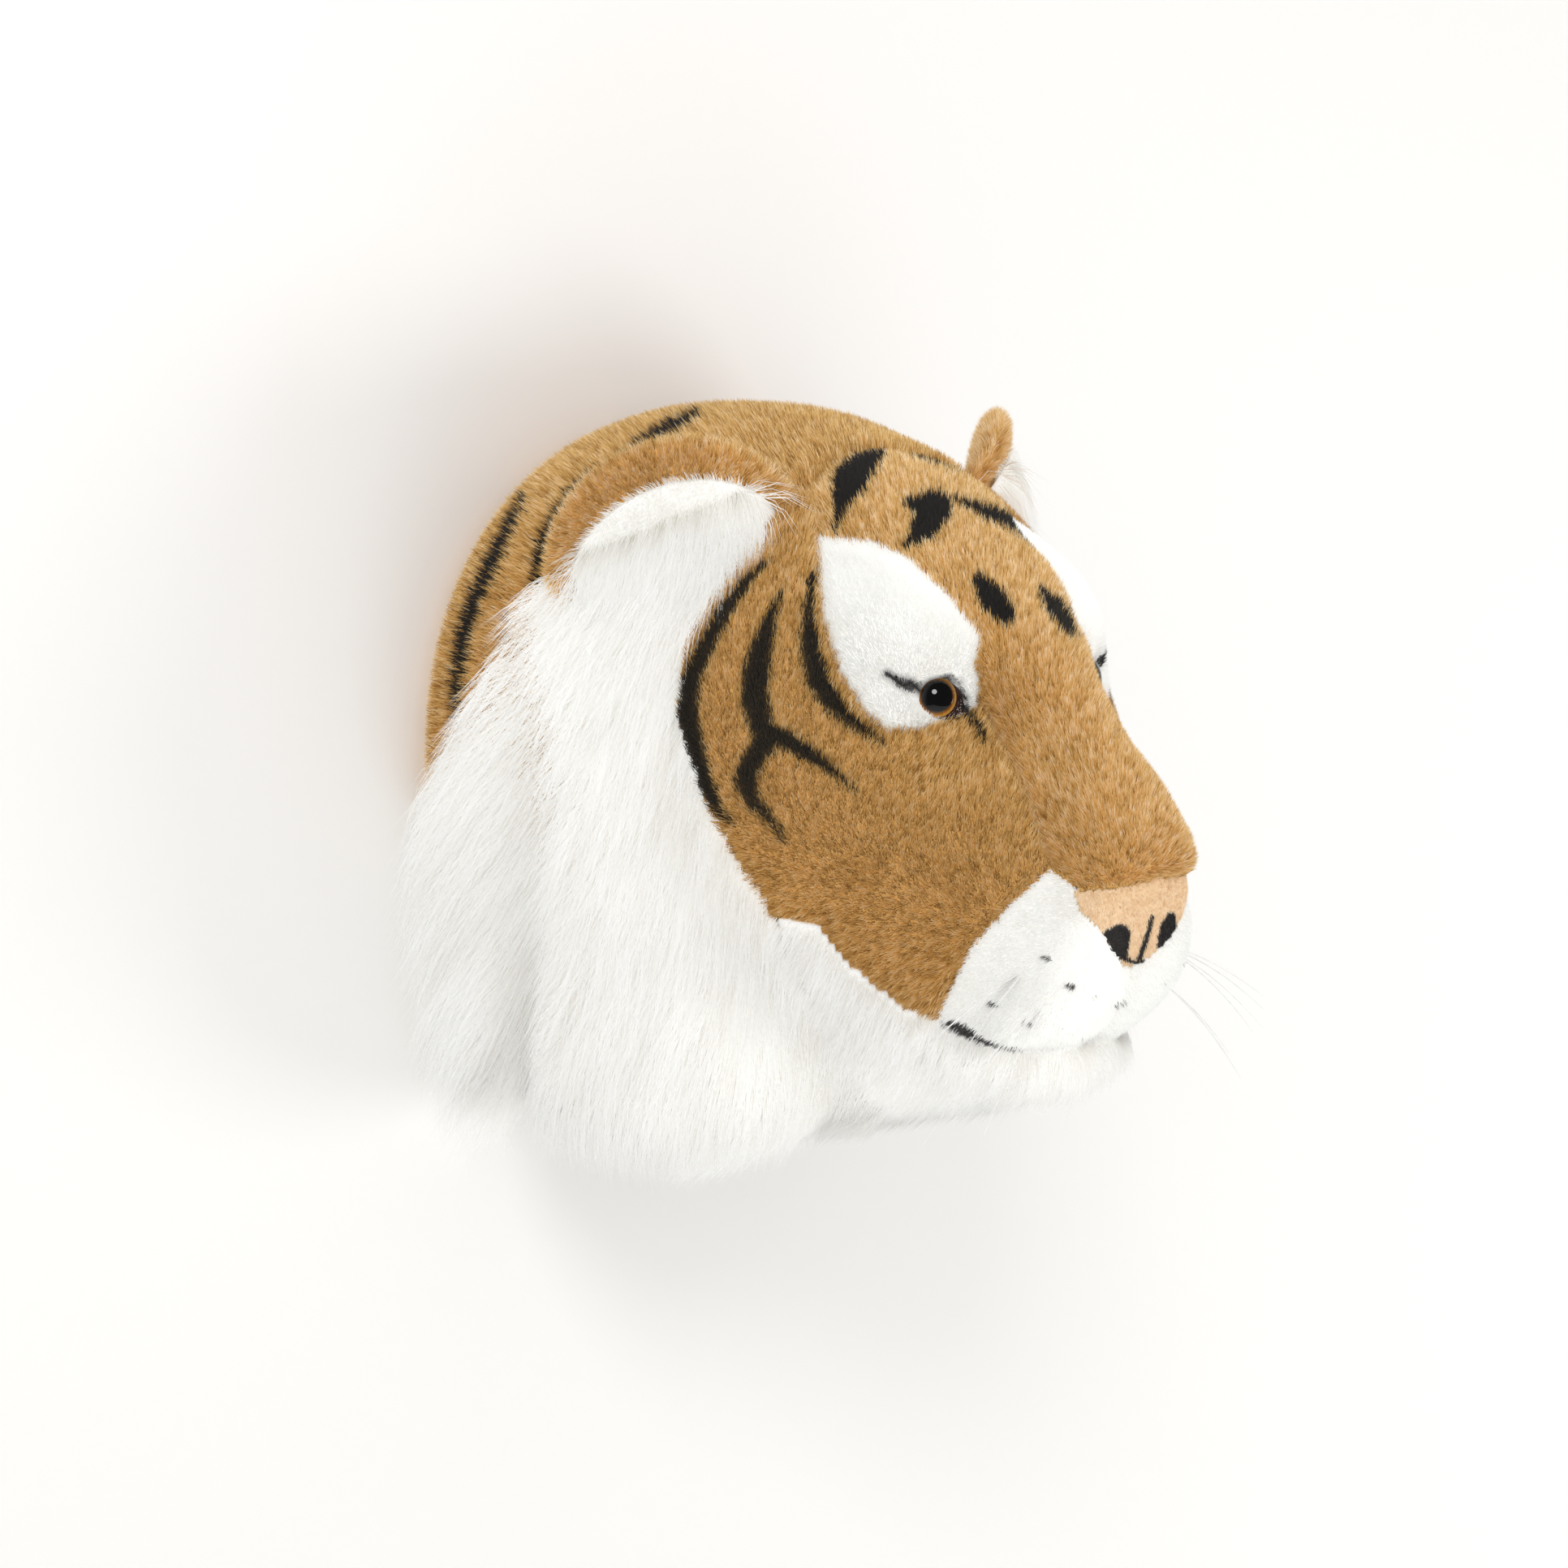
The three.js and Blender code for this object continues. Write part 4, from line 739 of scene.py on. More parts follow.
noseMarks = [
    [[1368, 1154, 18], [1380, 1152, 26], [1379, 1166, 24], [1385, 1175, 11]],
    [[1443, 1130, 11], [1440, 1142, 20], [1434, 1156, 15], [1428, 1168, 5]],
    [[1420, 1130, 4], [1413, 1156, 6], [1403, 1184, 6]],
    [[1362, 1166, 5], [1376, 1178, 6], [1400, 1187, 5], [1412, 1184, 5]],
]


# How far a point is inside a stroke, in pixels
def strokeDepth(pixels, path):
    best = np.full(len(pixels), -1e9)
    for a, b in zip(path, path[1:]):
        start, run = np.array(a[:2], float), np.array(b[:2], float) - a[:2]
        t = np.clip((pixels - start) @ run / max(run @ run, 1e-9), 0, 1)
        gap = np.linalg.norm(pixels - start - t[:, None] * run, axis=1)
        best = np.maximum(best, (a[2] + t * (b[2] - a[2])) / 2 - gap)
    return best


# How much of a mark's dye each point takes. A point of the left side is seen as if it was on the right.
def dyeShare(points, facts):
    seen = onRight(points) if facts["mirror"] else points
    pixels = toPixels(seen)
    sway = np.sin(pixels[:, 0] * 0.55 + 1.3 * np.sin(pixels[:, 1] * 0.31)) * facts["ragged"]
    share = np.zeros(len(points))
    for stroke in facts["marks"]:
        share = np.maximum(share, np.clip((strokeDepth(pixels, stroke) + sway) / facts["soft"] + 0.5, 0, 1))
    for stroke, place in facts.get("dots", []):
        dot = np.clip(strokeDepth(pixels, stroke) / facts["soft"] + 0.5, 0, 1)
        dot[np.linalg.norm(seen - place, axis=1) > dotFacts["reach"]] = 0
        share = np.maximum(share, dot)
    return share


# Dyes the strands of one piece: each is either dyed or not, so an edge is as ragged as the pile
def dyed(points, tones, facts):
    random = np.random.default_rng(dyeFacts["seed"])
    dark = random.random(len(points)) < dyeShare(points, facts)
    return np.where(dark, facts["dark"] + dyeFacts["darkSpread"] * random.random(len(points)), tones)


# Whisker dots: strokes in the photograph and the places on the lip that they stay near, in millimetres
def lipDots():
    pixels = toPixels(fine.points)
    away = 1e6 * ((fine.inside["lip"] < 0) | (fine.points[:, 0] > 0))
    dots = []
    for x, y in dotMarks:
        place = fine.points[np.argmin(np.linalg.norm(pixels - [x, y], axis=1) + away)]
        right, up, width = dotFacts["halfWide"], dotFacts["halfHigh"], dotFacts["width"]
        dots.append(([[x - right, y - up, width], [x + right, y + up, width]], place))
    return dots


whiskerDots = lipDots()
print("marks ready")


# Finishes

# Acrylic plush, knitted and sheared: dyed fibres with pale tips, darker towards the root. The darker root is
# partly the fibres' dye and partly painted shade for the depth of the pile, as the strands throw no shadow.
def plushFinish(name, tips, roots, roughness, sheen, sheenTint):
    material, tree = newMaterial(name)
    chart = addNode(tree, "ShaderNodeUVMap", uv_map="OFBake")
    parts = addNode(tree, "ShaderNodeSeparateXYZ", {0: chart.outputs[0]})
    tipRamp = addNode(tree, "ShaderNodeValToRGB", {0: parts.outputs[0]})
    shadedRootRamp = addNode(tree, "ShaderNodeValToRGB", {0: parts.outputs[0]})
    setRamp(tipRamp.color_ramp, tips)
    setRamp(shadedRootRamp.color_ramp, roots)
    # along each strand from the root colour, which holds painted shade, to the tip colour
    rise = addNode(tree, "ShaderNodeMapRange", {"Value": parts.outputs[1], "From Min": mapFacts["foot"],
                                               "From Max": mapFacts["ripe"]})
    mixed = addNode(tree, "ShaderNodeMix", {"Factor": rise.outputs[0], 6: shadedRootRamp.outputs[0],
                                            7: tipRamp.outputs[0]}, data_type="RGBA")
    shader = addNode(tree, "ShaderNodeBsdfPrincipled",
                     {"Base Color": mixed.outputs[2], "Roughness": roughness, "IOR": 1.49,
                      "Specular IOR Level": 0.3, "Sheen Weight": sheen, "Sheen Roughness": 0.4,
                      "Sheen Tint": linear(sheenTint)})
    addNode(tree, "ShaderNodeOutputMaterial", {0: shader.outputs[0]})
    return material


dyeColour = "#211E1C"


bodyFacts = {"tuft": 1.11, "patch": 16.7}  # millimetres. A fibre is 0.03 mm, so its tuft is drawn instead.


# Dense pile near the backing cloth: matt, mottled like packed fibre ends, and dyed where the marks are
def densePile(name, light, dark):
    material, tree = newMaterial(name)
    place = addNode(tree, "ShaderNodeTexCoord")
    fibres = addNode(tree, "ShaderNodeTexNoise", {"Vector": place.outputs["Object"],
                                                 "Scale": scaleOf(bodyFacts["tuft"]), "Detail": 3.0})
    patches = addNode(tree, "ShaderNodeTexNoise", {"Vector": place.outputs["Object"],
                                                  "Scale": scaleOf(bodyFacts["patch"])})
    blend = addNode(tree, "ShaderNodeMath", {0: fibres.outputs["Fac"], 1: patches.outputs["Fac"]},
                    operation="ADD")
    ramp = addNode(tree, "ShaderNodeValToRGB", {0: blend.outputs[0]})
    setRamp(ramp.color_ramp, [(0.75, dark), (1.0, light)])
    dye = addNode(tree, "ShaderNodeAttribute", attribute_name="dye")
    mixed = addNode(tree, "ShaderNodeMix", {"Factor": dye.outputs["Fac"], 6: ramp.outputs[0],
                                            7: linear(dyeColour)}, data_type="RGBA")
    bump = addNode(tree, "ShaderNodeBump", {"Strength": 0.5, "Distance": 0.0004,
                                           "Height": fibres.outputs["Fac"]})
    shader = addNode(tree, "ShaderNodeBsdfPrincipled",
                     {"Base Color": mixed.outputs[2], "Roughness": 0.92, "IOR": 1.5,
                      "Specular IOR Level": 0.2, "Sheen Weight": 0.2, "Normal": bump.outputs[0]})
    addNode(tree, "ShaderNodeOutputMaterial", {0: shader.outputs[0]})
    return material


# tip colours, then root colours: the roots are darker partly by their dye and partly by painted shade
tanPlush = plushFinish("tan sheared plush",
                       [(0.0, "#1F1E1D"), (0.12, "#2C2A28"), (0.22, "#9E6F32"), (0.45, "#D9AF65"),
                        (0.65, "#EBCD90"), (0.85, "#F7E4BC"), (1.0, "#FEF4DF")],
                       [(0.0, "#151413"), (0.12, "#1E1C1A"), (0.22, "#764F22"), (0.45, "#BA883E"),
                        (0.65, "#D09E52"), (1.0, "#E4BC78")], 0.6, 0.25, "#F5D9A8")
whitePlush = plushFinish("white sheared plush",
                         [(0.0, "#232220"), (0.15, "#3A3836"), (0.4, "#E6E4DE"), (0.6, "#FAFAF7"),
                          (1.0, "#FFFFFF")],
                         [(0.0, "#1A1918"), (0.15, "#2C2A29"), (0.4, "#DEDBD3"), (0.6, "#F4F3EF"),
                          (1.0, "#FAFAF8")], 0.6, 0.3, "#FFFFFF")
longPlush = plushFinish("long white plush",
                        [(0.0, "#232220"), (0.15, "#3A3836"), (0.4, "#DCD9D1"), (0.6, "#F5F4F0"),
                         (0.8, "#FEFEFD"), (1.0, "#FFFFFF")],
                        [(0.0, "#1A1918"), (0.15, "#2C2A29"), (0.4, "#D6D2C9"), (0.6, "#EDEBE6"),
                         (1.0, "#FAFAF7")], 0.55, 0.3, "#FFFFFF")
nosePlush = plushFinish("salmon shaved plush",
                        [(0.0, "#232124"), (0.15, "#353236"), (0.4, "#E0C09A"), (0.6, "#F0D8B6"),
                         (0.85, "#FAEAD2"), (1.0, "#FEF6E8")],
                        [(0.0, "#1A1819"), (0.15, "#2A2829"), (0.4, "#D0AC84"), (0.6, "#E4C8A2"),
                         (1.0, "#F2DCBC")], 0.7, 0.3, "#FFF0DE")
tanBody = densePile("dense tan pile", "#DEB069", "#B98840")
whiteBody = densePile("dense white pile", "#F8F7F4", "#EAE8E2")
salmonBody = densePile("dense salmon pile", "#F0D8B4", "#DEC098")
print("pile finishes ready")


# Finish with one pattern of real size, coloured by a ramp. A bump is made of the same pattern.
def patternedFinish(name, kind, pattern, stops, surface, bump=None):
    material, tree = newMaterial(name)
    place = addNode(tree, "ShaderNodeTexCoord")
    texture = addNode(tree, kind, {"Vector": place.outputs["Object"], **pattern})
    ramp = addNode(tree, "ShaderNodeValToRGB", {0: texture.outputs["Fac"]})
    setRamp(ramp.color_ramp, stops)
    shader = addNode(tree, "ShaderNodeBsdfPrincipled", {"Base Color": ramp.outputs[0], **surface})
    if bump:
        raised = addNode(tree, "ShaderNodeBump", {**bump, "Height": texture.outputs["Fac"]})
        tree.links.new(raised.outputs[0], shader.inputs["Normal"])
    addNode(tree, "ShaderNodeOutputMaterial", {0: shader.outputs[0]})
    return material


# Places on the skin

probe = {"angles": 4001, "step": 0.01}  # how finely the skin is searched


# Point and direction of the right side's skin at a depth and a height
def skinAt(depth, height):
    share = 100 * depth / headForm["depth"]
    angles = np.linspace(0, math.pi, probe["angles"])
    line = loftPoints(np.full(len(angles), share), -angles)
    k = int(np.argmin(np.abs(line[:, 2] - height)))
    step = probe["step"]
    along = loftPoints(share + step, -angles[k]) - loftPoints(share - step, -angles[k])
    around = loftPoints(share, -angles[k] + step) - loftPoints(share, -angles[k] - step)
    normal = np.cross(along, around)
    normal /= np.linalg.norm(normal)
    point = line[k].copy()
    for across, swellDepth, swellHeight, radius, amount in headForm["swells"]:
        gap = onRight(point) - [-across, -swellDepth, swellHeight]
        point = point + normal * amount * math.exp(-(gap @ gap) / radius ** 2)
    return point, normal


eyeFacts = {"depth": 190, "height": 47, "look": [1, 1, 0.5], "radius": 8, "bulge": 6.5, "sunk": 1.6,
            "rim": 0.9, "edge": 0.3, "collar": -0.2, "rimPlace": (0.97, 0.5), "pupil": 0.7,
            "streak": 0.889,  # width of an iris fibre at the rim
            "steps": 16, "spokes": 64,
            "post": 2.3, "postLength": 12, "postTip": 0.6, "ribs": 4, "ribStart": 1, "ribPitch": 2.2,
            "ribShape": [(0, 1), (0.5, 1), (1.1, 0.84), (1.6, 0.84)],  # rise and share of the radius
            "lidRise": 1.3, "lidSquash": 1.35}


def eyeFrame():
    point, normal = skinAt(eyeFacts["depth"], eyeFacts["height"])
    normal = normal * eyeFacts["look"]
    normal /= np.linalg.norm(normal)
    right = np.cross([0, 0, 1], normal)
    right /= np.linalg.norm(right)
    return point, normal, right, np.cross(normal, right)


# How far points are from the middle of an eye. Its lids are nearer than its corners.
def fromEye(points):
    middle = eyeFrame()[0] + [0, 0, eyeFacts["lidRise"]]
    return np.linalg.norm((onRight(points) - middle) * [1, 1, eyeFacts["lidSquash"]], axis=1)


# Panels of the skin. Each is a closed layer of knitted cloth, and its pile grows from it.

skinFacts = {"thickness": 2.6, "seam": (0.4, 0, 6), "lid": (0.2, 7, 13), "hem": (1.5, 10), "plainHem": (2, 5),
             "besideLip": -8}
# the dense pile of the ruff: less at its edges, and more so high up
ruffFacts = {"edgeLow": 0.8, "edgeLoss": 0.5, "edgeHeights": (-30, 10), "edgeWidth": (0, 12),
             "atBoard": (0.25, 4, 20), "least": 4, "leastDrop": (30, 70), "leastDepth": (20, 40),
             "floor": 0.4, "cloths": ("ruffFront", "ruffBack")}
# where the strands are shorter: the share that is left, and where it starts and ends
shortAt = {"neckHem": (0.6, 2, 16), "lid": (0.4, 8.5, 14), "ruffEdge": (0.65, 0, 16), "jawLoss": 0.4,
           "jaw": (60, 110), "bareLid": 8.6, "overSeam": -0.5, "fromWall": 1.5}

stripes = {"soft": 9, "ragged": 1.2, "dark": 0.04}
crisp = {"soft": 3, "ragged": 0, "dark": 0.04}
tan = {"body": tanBody, "finish": tanPlush, "slot": "tan_pile", "height": 3, "mirror": True, **stripes}
white = {"body": whiteBody, "finish": whitePlush, "slot": "white_pile", "tone": 0.75, "mirror": True, **crisp}
long = {"body": whiteBody, "finish": longPlush, "slot": "long_white_pile", "marks": [], "mirror": True,
        **crisp}
tanTree = {"Density": 3.4e6, "Spacing": 0.0003, "Width": 0.00042, "Segments": 1, "Clump Size": 0.0015,
           "Clump": 0.4, "Jitter": 0.4, "Tone Spread": 0.45}
whiteTree = {"Density": 4.4e6, "Spacing": 0.0003, "Width": 0.0004, "Segments": 1, "Clump Size": 0.0018,
             "Clump": 0.2, "Jitter": 0.35, "Tone Spread": 0.18}
longTree = {"Spacing": 0.0006, "Width": 0.00042, "Segments": 2, "Clump": 0.5, "Jitter": 0.3,
            "Tone Spread": 0.25, "Length Spread": 0.5, "Coat Light": 0.6}

pilePanels = {
    "bridge": {**tan, "node": "bridge_panel", "sides": [""], "pile": 5.6, "lie": 0.5, "tone": 0.6,
               "marks": crownMarks, "mirror": False, "tree": {**tanTree, "Jitter": 0.35}},
    "cheek": {**tan, "node": "cheek", "sides": both, "pile": 5.4, "lie": 0.52, "tone": 0.5,
              "marks": cheekMarks, "tree": tanTree},
    # the neck's tone is darker than the bridge's: partly its colour, partly painted shade from the ear over
    # the neck behind it
    "neck": {**tan, "node": "neck_panel", "sides": both, "pile": 7.5, "lie": 0.5, "tone": 0.5,
             "marks": neckMarks,
             "tree": {**tanTree, "Density": 1.7e6, "Spacing": 0.0004, "Width": 0.00052,
                      "Clump Size": 0.0018}},
    "eyePatch": {**white, "node": "eye_patch", "sides": both, "height": 2.8, "pile": 4, "lie": 0.4,
                 "marks": eyeMarks, "tree": whiteTree},
    "lip": {**white, "node": "lip", "sides": both, "height": 2.6, "pile": 3.6, "lie": 0.45,
            "marks": mouthMarks, "dots": whiskerDots, "dark": 0.12, "tree": whiteTree},
    "nosePad": {"node": "nose_pad", "sides": [""], "body": salmonBody, "finish": nosePlush,
                "slot": "nose_plush", "height": 1.2, "pile": 1.6, "lie": 0.6, "tone": 0.7,
                "marks": noseMarks, "mirror": False, **crisp,
                "tree": {"Density": 9.0e6, "Spacing": 0.0002, "Width": 0.00032, "Segments": 1,
                         "Clump Size": 0.001, "Clump": 0.2, "Jitter": 0.5, "Tone Spread": 0.4}},
    "chin": {**long, "node": "chin_panel", "sides": [""], "height": 4.5, "pile": 16, "lie": 0.66,
             "tone": 0.74, "marks": cornerMarks,
             "tree": {**longTree, "Density": 1.6e6, "Spacing": 0.0004, "Width": 0.00045,
                      "Clump Size": 0.004, "Tone Spread": 0.22, "Hang": 0.1}},
    "throat": {**long, "node": "throat_panel", "sides": [""], "height": 6, "pile": 24, "lie": 0.8,
               "tone": 0.7,
               "tree": {"Density": 0.9e6, "Spacing": 0.0005, "Width": 0.0006, "Segments": 2,
                        "Clump Size": 0.006, "Clump": 0.7, "Jitter": 0.3, "Tone Spread": 0.15,
                        "Hang": 0.2}},
    "ruffFront": {**long, "node": "ruff_front", "sides": both, "height": 0.55, "pile": 44, "lie": 0.82,
                  "tone": 0.72,
                  "tree": {**longTree, "Density": 0.62e6, "Clump Size": 0.006, "Jitter": 0.22,
                           "Lie Spread": 0.14, "Hang": 0.05}},
    "ruffBack": {**long, "node": "ruff_back", "sides": both, "height": 0.55, "pile": 47, "lie": 0.78,
                 "tone": 0.72,
                 "tree": {**longTree, "Density": 0.85e6, "Clump Size": 0.007, "Clump": 0.7,
                          "Length Spread": 0.6, "Lie Spread": 0.2, "Hang": 0.25}},
}


# How high the dense pile of a panel stands above the plain skin. It dips at the seams and at the hem.
# The ruff's height is a share of its room, and the others' is in millimetres.
def bodyLift(kind, surface):
    height, inside = pilePanels[kind]["height"], surface.inside[kind]
    depth, up = -surface.points[:, 1], surface.points[:, 2]
    if kind in ruffFacts["cloths"]:
        atEdge = ruffFacts["edgeLow"] - ruffFacts["edgeLoss"] * ease(up, *ruffFacts["edgeHeights"])
        lift = height * surface.lift * risesFrom(inside, atEdge, *ruffFacts["edgeWidth"])
        if kind == "ruffBack":
            lift = lift * risesFrom(depth, *ruffFacts["atBoard"])
        least = ruffFacts["least"] * ease(-up, *ruffFacts["leastDrop"])
        return np.maximum(lift, least * ease(depth, *ruffFacts["leastDepth"]))
    dip = risesFrom(inside, *skinFacts["seam"])
    if kind in ("chin", "throat"):
        dip = np.where(surface.inside["lip"] > skinFacts["besideLip"], dip, 1)
    if kind == "eyePatch":
        dip = dip * risesFrom(fromEye(surface.points), *skinFacts["lid"])
    return height * dip * ease(depth, *skinFacts["hem"])


def lifted(kind, surface):
    lift = bodyLift(kind, surface)
    sag = ruffRoom["sag"] * lift if kind in ruffFacts["cloths"] else 0 * lift
    return surface.points + surface.normals * lift[:, None] - sag[:, None] * [0, 0, 1]


def sideFaces(faces, points, side):
    if not side:
        return faces
    middle = points[faces].mean(1)[:, 0]
    return faces[middle < 0] if side == "_right" else faces[middle > 0]


def compact(points, faces, *others):
    used, packed = np.unique(faces, return_inverse=True)
    return (points[used], packed.reshape(faces.shape), *(other[used] for other in others))


# Closed cloth layer from a patch of surface: its outer face, its inner face and the cut edge
def layerFaces(faces, count):
    edges = np.stack([faces, np.roll(faces, -1, 1)], -1).reshape(-1, 2)
    keys = edges[:, 0].astype(np.int64) * count + edges[:, 1]
    back = edges[:, 1].astype(np.int64) * count + edges[:, 0]
    rim = edges[~np.isin(keys, back)]
    walls = np.stack([rim[:, 1], rim[:, 0], rim[:, 0] + count, rim[:, 1] + count], 1)
    return np.concatenate([faces, faces[:, ::-1] + count, walls])


coarse = Surface(160, 210)


def makeCloth(kind, facts, side):
    name = facts["node"] + side
    points = lifted(kind, coarse)
    faces = coarse.faces
    depths = coarse.inside[kind][faces].mean(1)
    faces = sideFaces(faces[depths > 0], points, side)
    floor = ruffFacts["floor"] if kind == "ruffBack" else -skinFacts["thickness"]
    inner = coarse.points + coarse.normals * floor
    points, faces, inner = compact(points, faces, inner)
    layer = makeMesh(name + "_cloth", np.concatenate([points, inner]), layerFaces(faces, len(points)))
    dye = layer.attributes.new("dye", "FLOAT", "POINT")
    dyeing = dyeShare(points, facts) * ease(-points[:, 1], *skinFacts["plainHem"])
    dye.data.foreach_set("value", np.tile(dyeing, 2).astype(np.float32))
    layer.materials.append(facts["body"])
    cloth = addObject(name + "_cloth", layer)
    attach(cloth, "head")
    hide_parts(name)


def makePile(kind, facts, side):
    points = lifted(kind, fine)
    depth = -fine.points[:, 1]
    faces = fine.faces
    near = fine.inside[kind][faces].max(1) > shortAt["overSeam"]
    near &= depth[faces].min(1) > shortAt["fromWall"]
    faces = sideFaces(faces[near], points, side)
    length = np.full(len(points), facts["pile"]) * mm
    thick = np.ones(len(points))
    if kind == "neck":
        length *= risesFrom(depth, *shortAt["neckHem"])
    if kind == "eyePatch":
        length *= risesFrom(fromEye(fine.points), *shortAt["lid"])
        thick *= fromEye(fine.points) > shortAt["bareLid"]
    if kind in ruffFacts["cloths"]:
        length *= risesFrom(fine.inside[kind], *shortAt["ruffEdge"])
    if kind == "ruffFront":
        length *= 1 - shortAt["jawLoss"] * ease(-fine.points[:, 2], *shortAt["jaw"])
    fields = {"comb": combOf(kind, fine.points), "lie": np.full(len(points), facts["lie"]),
              "pile": length, "thick": thick, "inside": fine.inside[kind],
              "tone": np.full(len(points), facts["tone"])}
    points, faces, *values = compact(points, faces, *fields.values())
    pile = growPile(facts["node"] + side + "_pile", points, faces, dict(zip(fields, values)), facts["tree"],
                    facts["finish"], facts)
    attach(pile, "head")


for kind, facts in pilePanels.items():
    for side in facts["sides"]:
        makeCloth(kind, facts, side)
        makePile(kind, facts, side)
print("skin panels made")


# Ears: a tan cup, and a white lining that fills it up to a fold, with long pile below the fold

earFacts = {"depth": 105, "height": 91, "standOff": 6, "halfWidth": 47, "rise": 42, "root": 24,
            "wrap": 18, "curl": 3, "yaw": 47, "tilt": 21, "rounding": 6, "rounds": 24, "spokes": 96,
            "foldHeight": 15, "foldHalf": 3, "creaseWidth": 1.3, "underLining": -2.5, "liningBack": -4}
# pile: length at the fold and what it gains below it, how it lies and how light it is, and how much painted
# shade darkens the crease of the fold
# the cup's tone is lighter than the neck's: partly its colour, partly painted light on its rim
earPile = {"back": 7.5, "backLie": 0.5, "backTone": 0.66, "backUp": 0.5, "backOut": 0.15, "lining": 5.5,
           "liningGain": 22, "liningLie": 0.4, "liningLieGain": 0.38, "liningTone": 0.78,
           "creaseShade": 0.32, "liningComb": [-0.12, 0.18, -1.0], "foldComb": 0.25}
earLayers = {"back": {"span": 1, "rise": 1, "low": -7, "high": 0, "cloth": tanBody, "finish": tanPlush,
                      "slot": "tan_pile",
                      "tree": {"Density": 3.0e6, "Spacing": 0.0003, "Width": 0.00042, "Segments": 1,
                               "Clump Size": 0.0022, "Clump": 0.4, "Jitter": 0.35, "Tone Spread": 0.45,
                               "Seed": 21}},
             "lining": {"span": 0.84, "rise": 0.66, "low": 0.6, "high": 5, "cloth": whiteBody,
                        "finish": longPlush, "slot": "white_pile",
                        "tree": {"Density": 1.8e6, "Spacing": 0.0004, "Width": 0.00045, "Segments": 2,
                                 "Clump Size": 0.003, "Clump": 0.4, "Jitter": 0.25, "Tone Spread": 0.2,
                                 "Seed": 22}}}


def earAxes():
    yaw, tilt = math.radians(earFacts["yaw"]), math.radians(earFacts["tilt"])
    flat = np.array([math.cos(yaw), -math.sin(yaw), 0])
    along = flat * math.cos(tilt) + [0, 0, math.sin(tilt)]
    up = -flat * math.sin(tilt) + [0, 0, math.cos(tilt)]
    return along, up, np.cross(along, up)


earPoint, earNormal = skinAt(earFacts["depth"], earFacts["height"])
earPoint = earPoint + earNormal * earFacts["standOff"]
earAlong, earUp, earOut = earAxes()


# Disc of the ear: rings from its middle to its rim, for one face of a cushion that is twice "half" thick
def earDisc(layer, middle, half):
    facts = earFacts
    reach = np.linspace(0, 1, facts["rounds"] + 1)[1:, None]
    angle = 2 * math.pi * np.arange(facts["spokes"])[None, :] / facts["spokes"]
    across = facts["halfWidth"] * reach * layer["span"] * np.cos(angle)
    sine = np.sin(angle)
    up = np.where(sine > 0, facts["rise"] * layer["rise"], facts["root"] * layer["span"]) * reach * sine
    bend = facts["wrap"] * (across / facts["halfWidth"]) ** 2 * (1 - up / facts["rise"]) ** 2
    curl = facts["curl"] * (reach * layer["span"]) ** 4 * np.maximum(sine, 0)
    out = middle + half * (1 - reach ** facts["rounding"]) ** 0.5 + curl - bend
    points = earPoint + across[..., None] * earAlong + up[..., None] * earUp + out[..., None] * earOut
    return points.reshape(-1, 3), up.reshape(-1)


# Closed body of two discs that share their rim. Returns points, faces, the fans at the middles and heights.
def earBody(layer):
    rounds, spokes = earFacts["rounds"], earFacts["spokes"]
    middle, half = (layer["low"] + layer["high"]) / 2, (layer["high"] - layer["low"]) / 2
    front, ups = earDisc(layer, middle, half)
    back = earDisc(layer, middle, -half)[0][:-spokes]
    points = np.concatenate([front, back, [earPoint + earOut * layer["high"]],
                             [earPoint + earOut * layer["low"]]])
    heights = np.concatenate([ups, ups[:-spokes], [0, 0]])
    shift, faces = rounds * spokes, gridFaces(rounds, spokes)
    behind = faces[:, [0, 3, 2, 1]]
    behind = np.where(behind < shift - spokes, behind + shift, behind)
    k = np.arange(spokes)
    n = (k + 1) % spokes
    pole = np.full(spokes, len(points) - 2)
    fan = np.array([[pole, k, n], [pole + 1, shift + n, shift + k]]).transpose(2, 0, 1).reshape(-1, 3)
    return points, np.stack([faces, behind], 1).reshape(-1, 4), fan, heights


# Height of points above the plain form of the head
def aboveHead(points):
    form = headForm
    share = np.clip(-points[:, 1] / form["depth"] * 100, 1, 99)
    top = smoothLine(form["topLine"], share) * form["crown"] / 100
    half = smoothLine(form["halfLine"], share) * form["halfWidth"] / 100
    waist = smoothLine(form["waistLine"], share) * form["crown"] / 100
    power = smoothLine(form["archLine"], share)
    across, up = np.abs(points[:, 0] / half), np.abs((points[:, 2] - waist) / (top - waist))
    ratio = (across ** power + up ** power) ** (1 / power)
    return (ratio - 1) * np.hypot(points[:, 0], points[:, 2] - waist) / ratio


# Comb, length and the rest for the tan pile of the cup. None grows where the lining covers it.
def backFields(points, heights):
    radial = points - earPoint
    out = radial @ earOut
    across = np.abs(radial @ earAlong) / earFacts["halfWidth"]
    up = np.maximum(heights, 0) / earFacts["rise"]
    lining = earLayers["lining"]
    covered = np.hypot(across / lining["span"], up / lining["rise"]) < 1
    covered &= out + earFacts["wrap"] * across ** 2 * (1 - up) ** 2 > earFacts["underLining"]
    radial -= np.outer(out, earOut)
    radial /= np.maximum(np.linalg.norm(radial, axis=1)[:, None], 1)
    return {"comb": radial + earPile["backUp"] * earUp + earPile["backOut"] * earOut,
            "lie": np.full(len(points), earPile["backLie"]),
            "pile": np.full(len(points), earPile["back"]) * mm, "thick": np.ones(len(points)),
            "inside": np.where(covered, -2.0, aboveHead(points)),
            "tone": np.full(len(points), earPile["backTone"])}
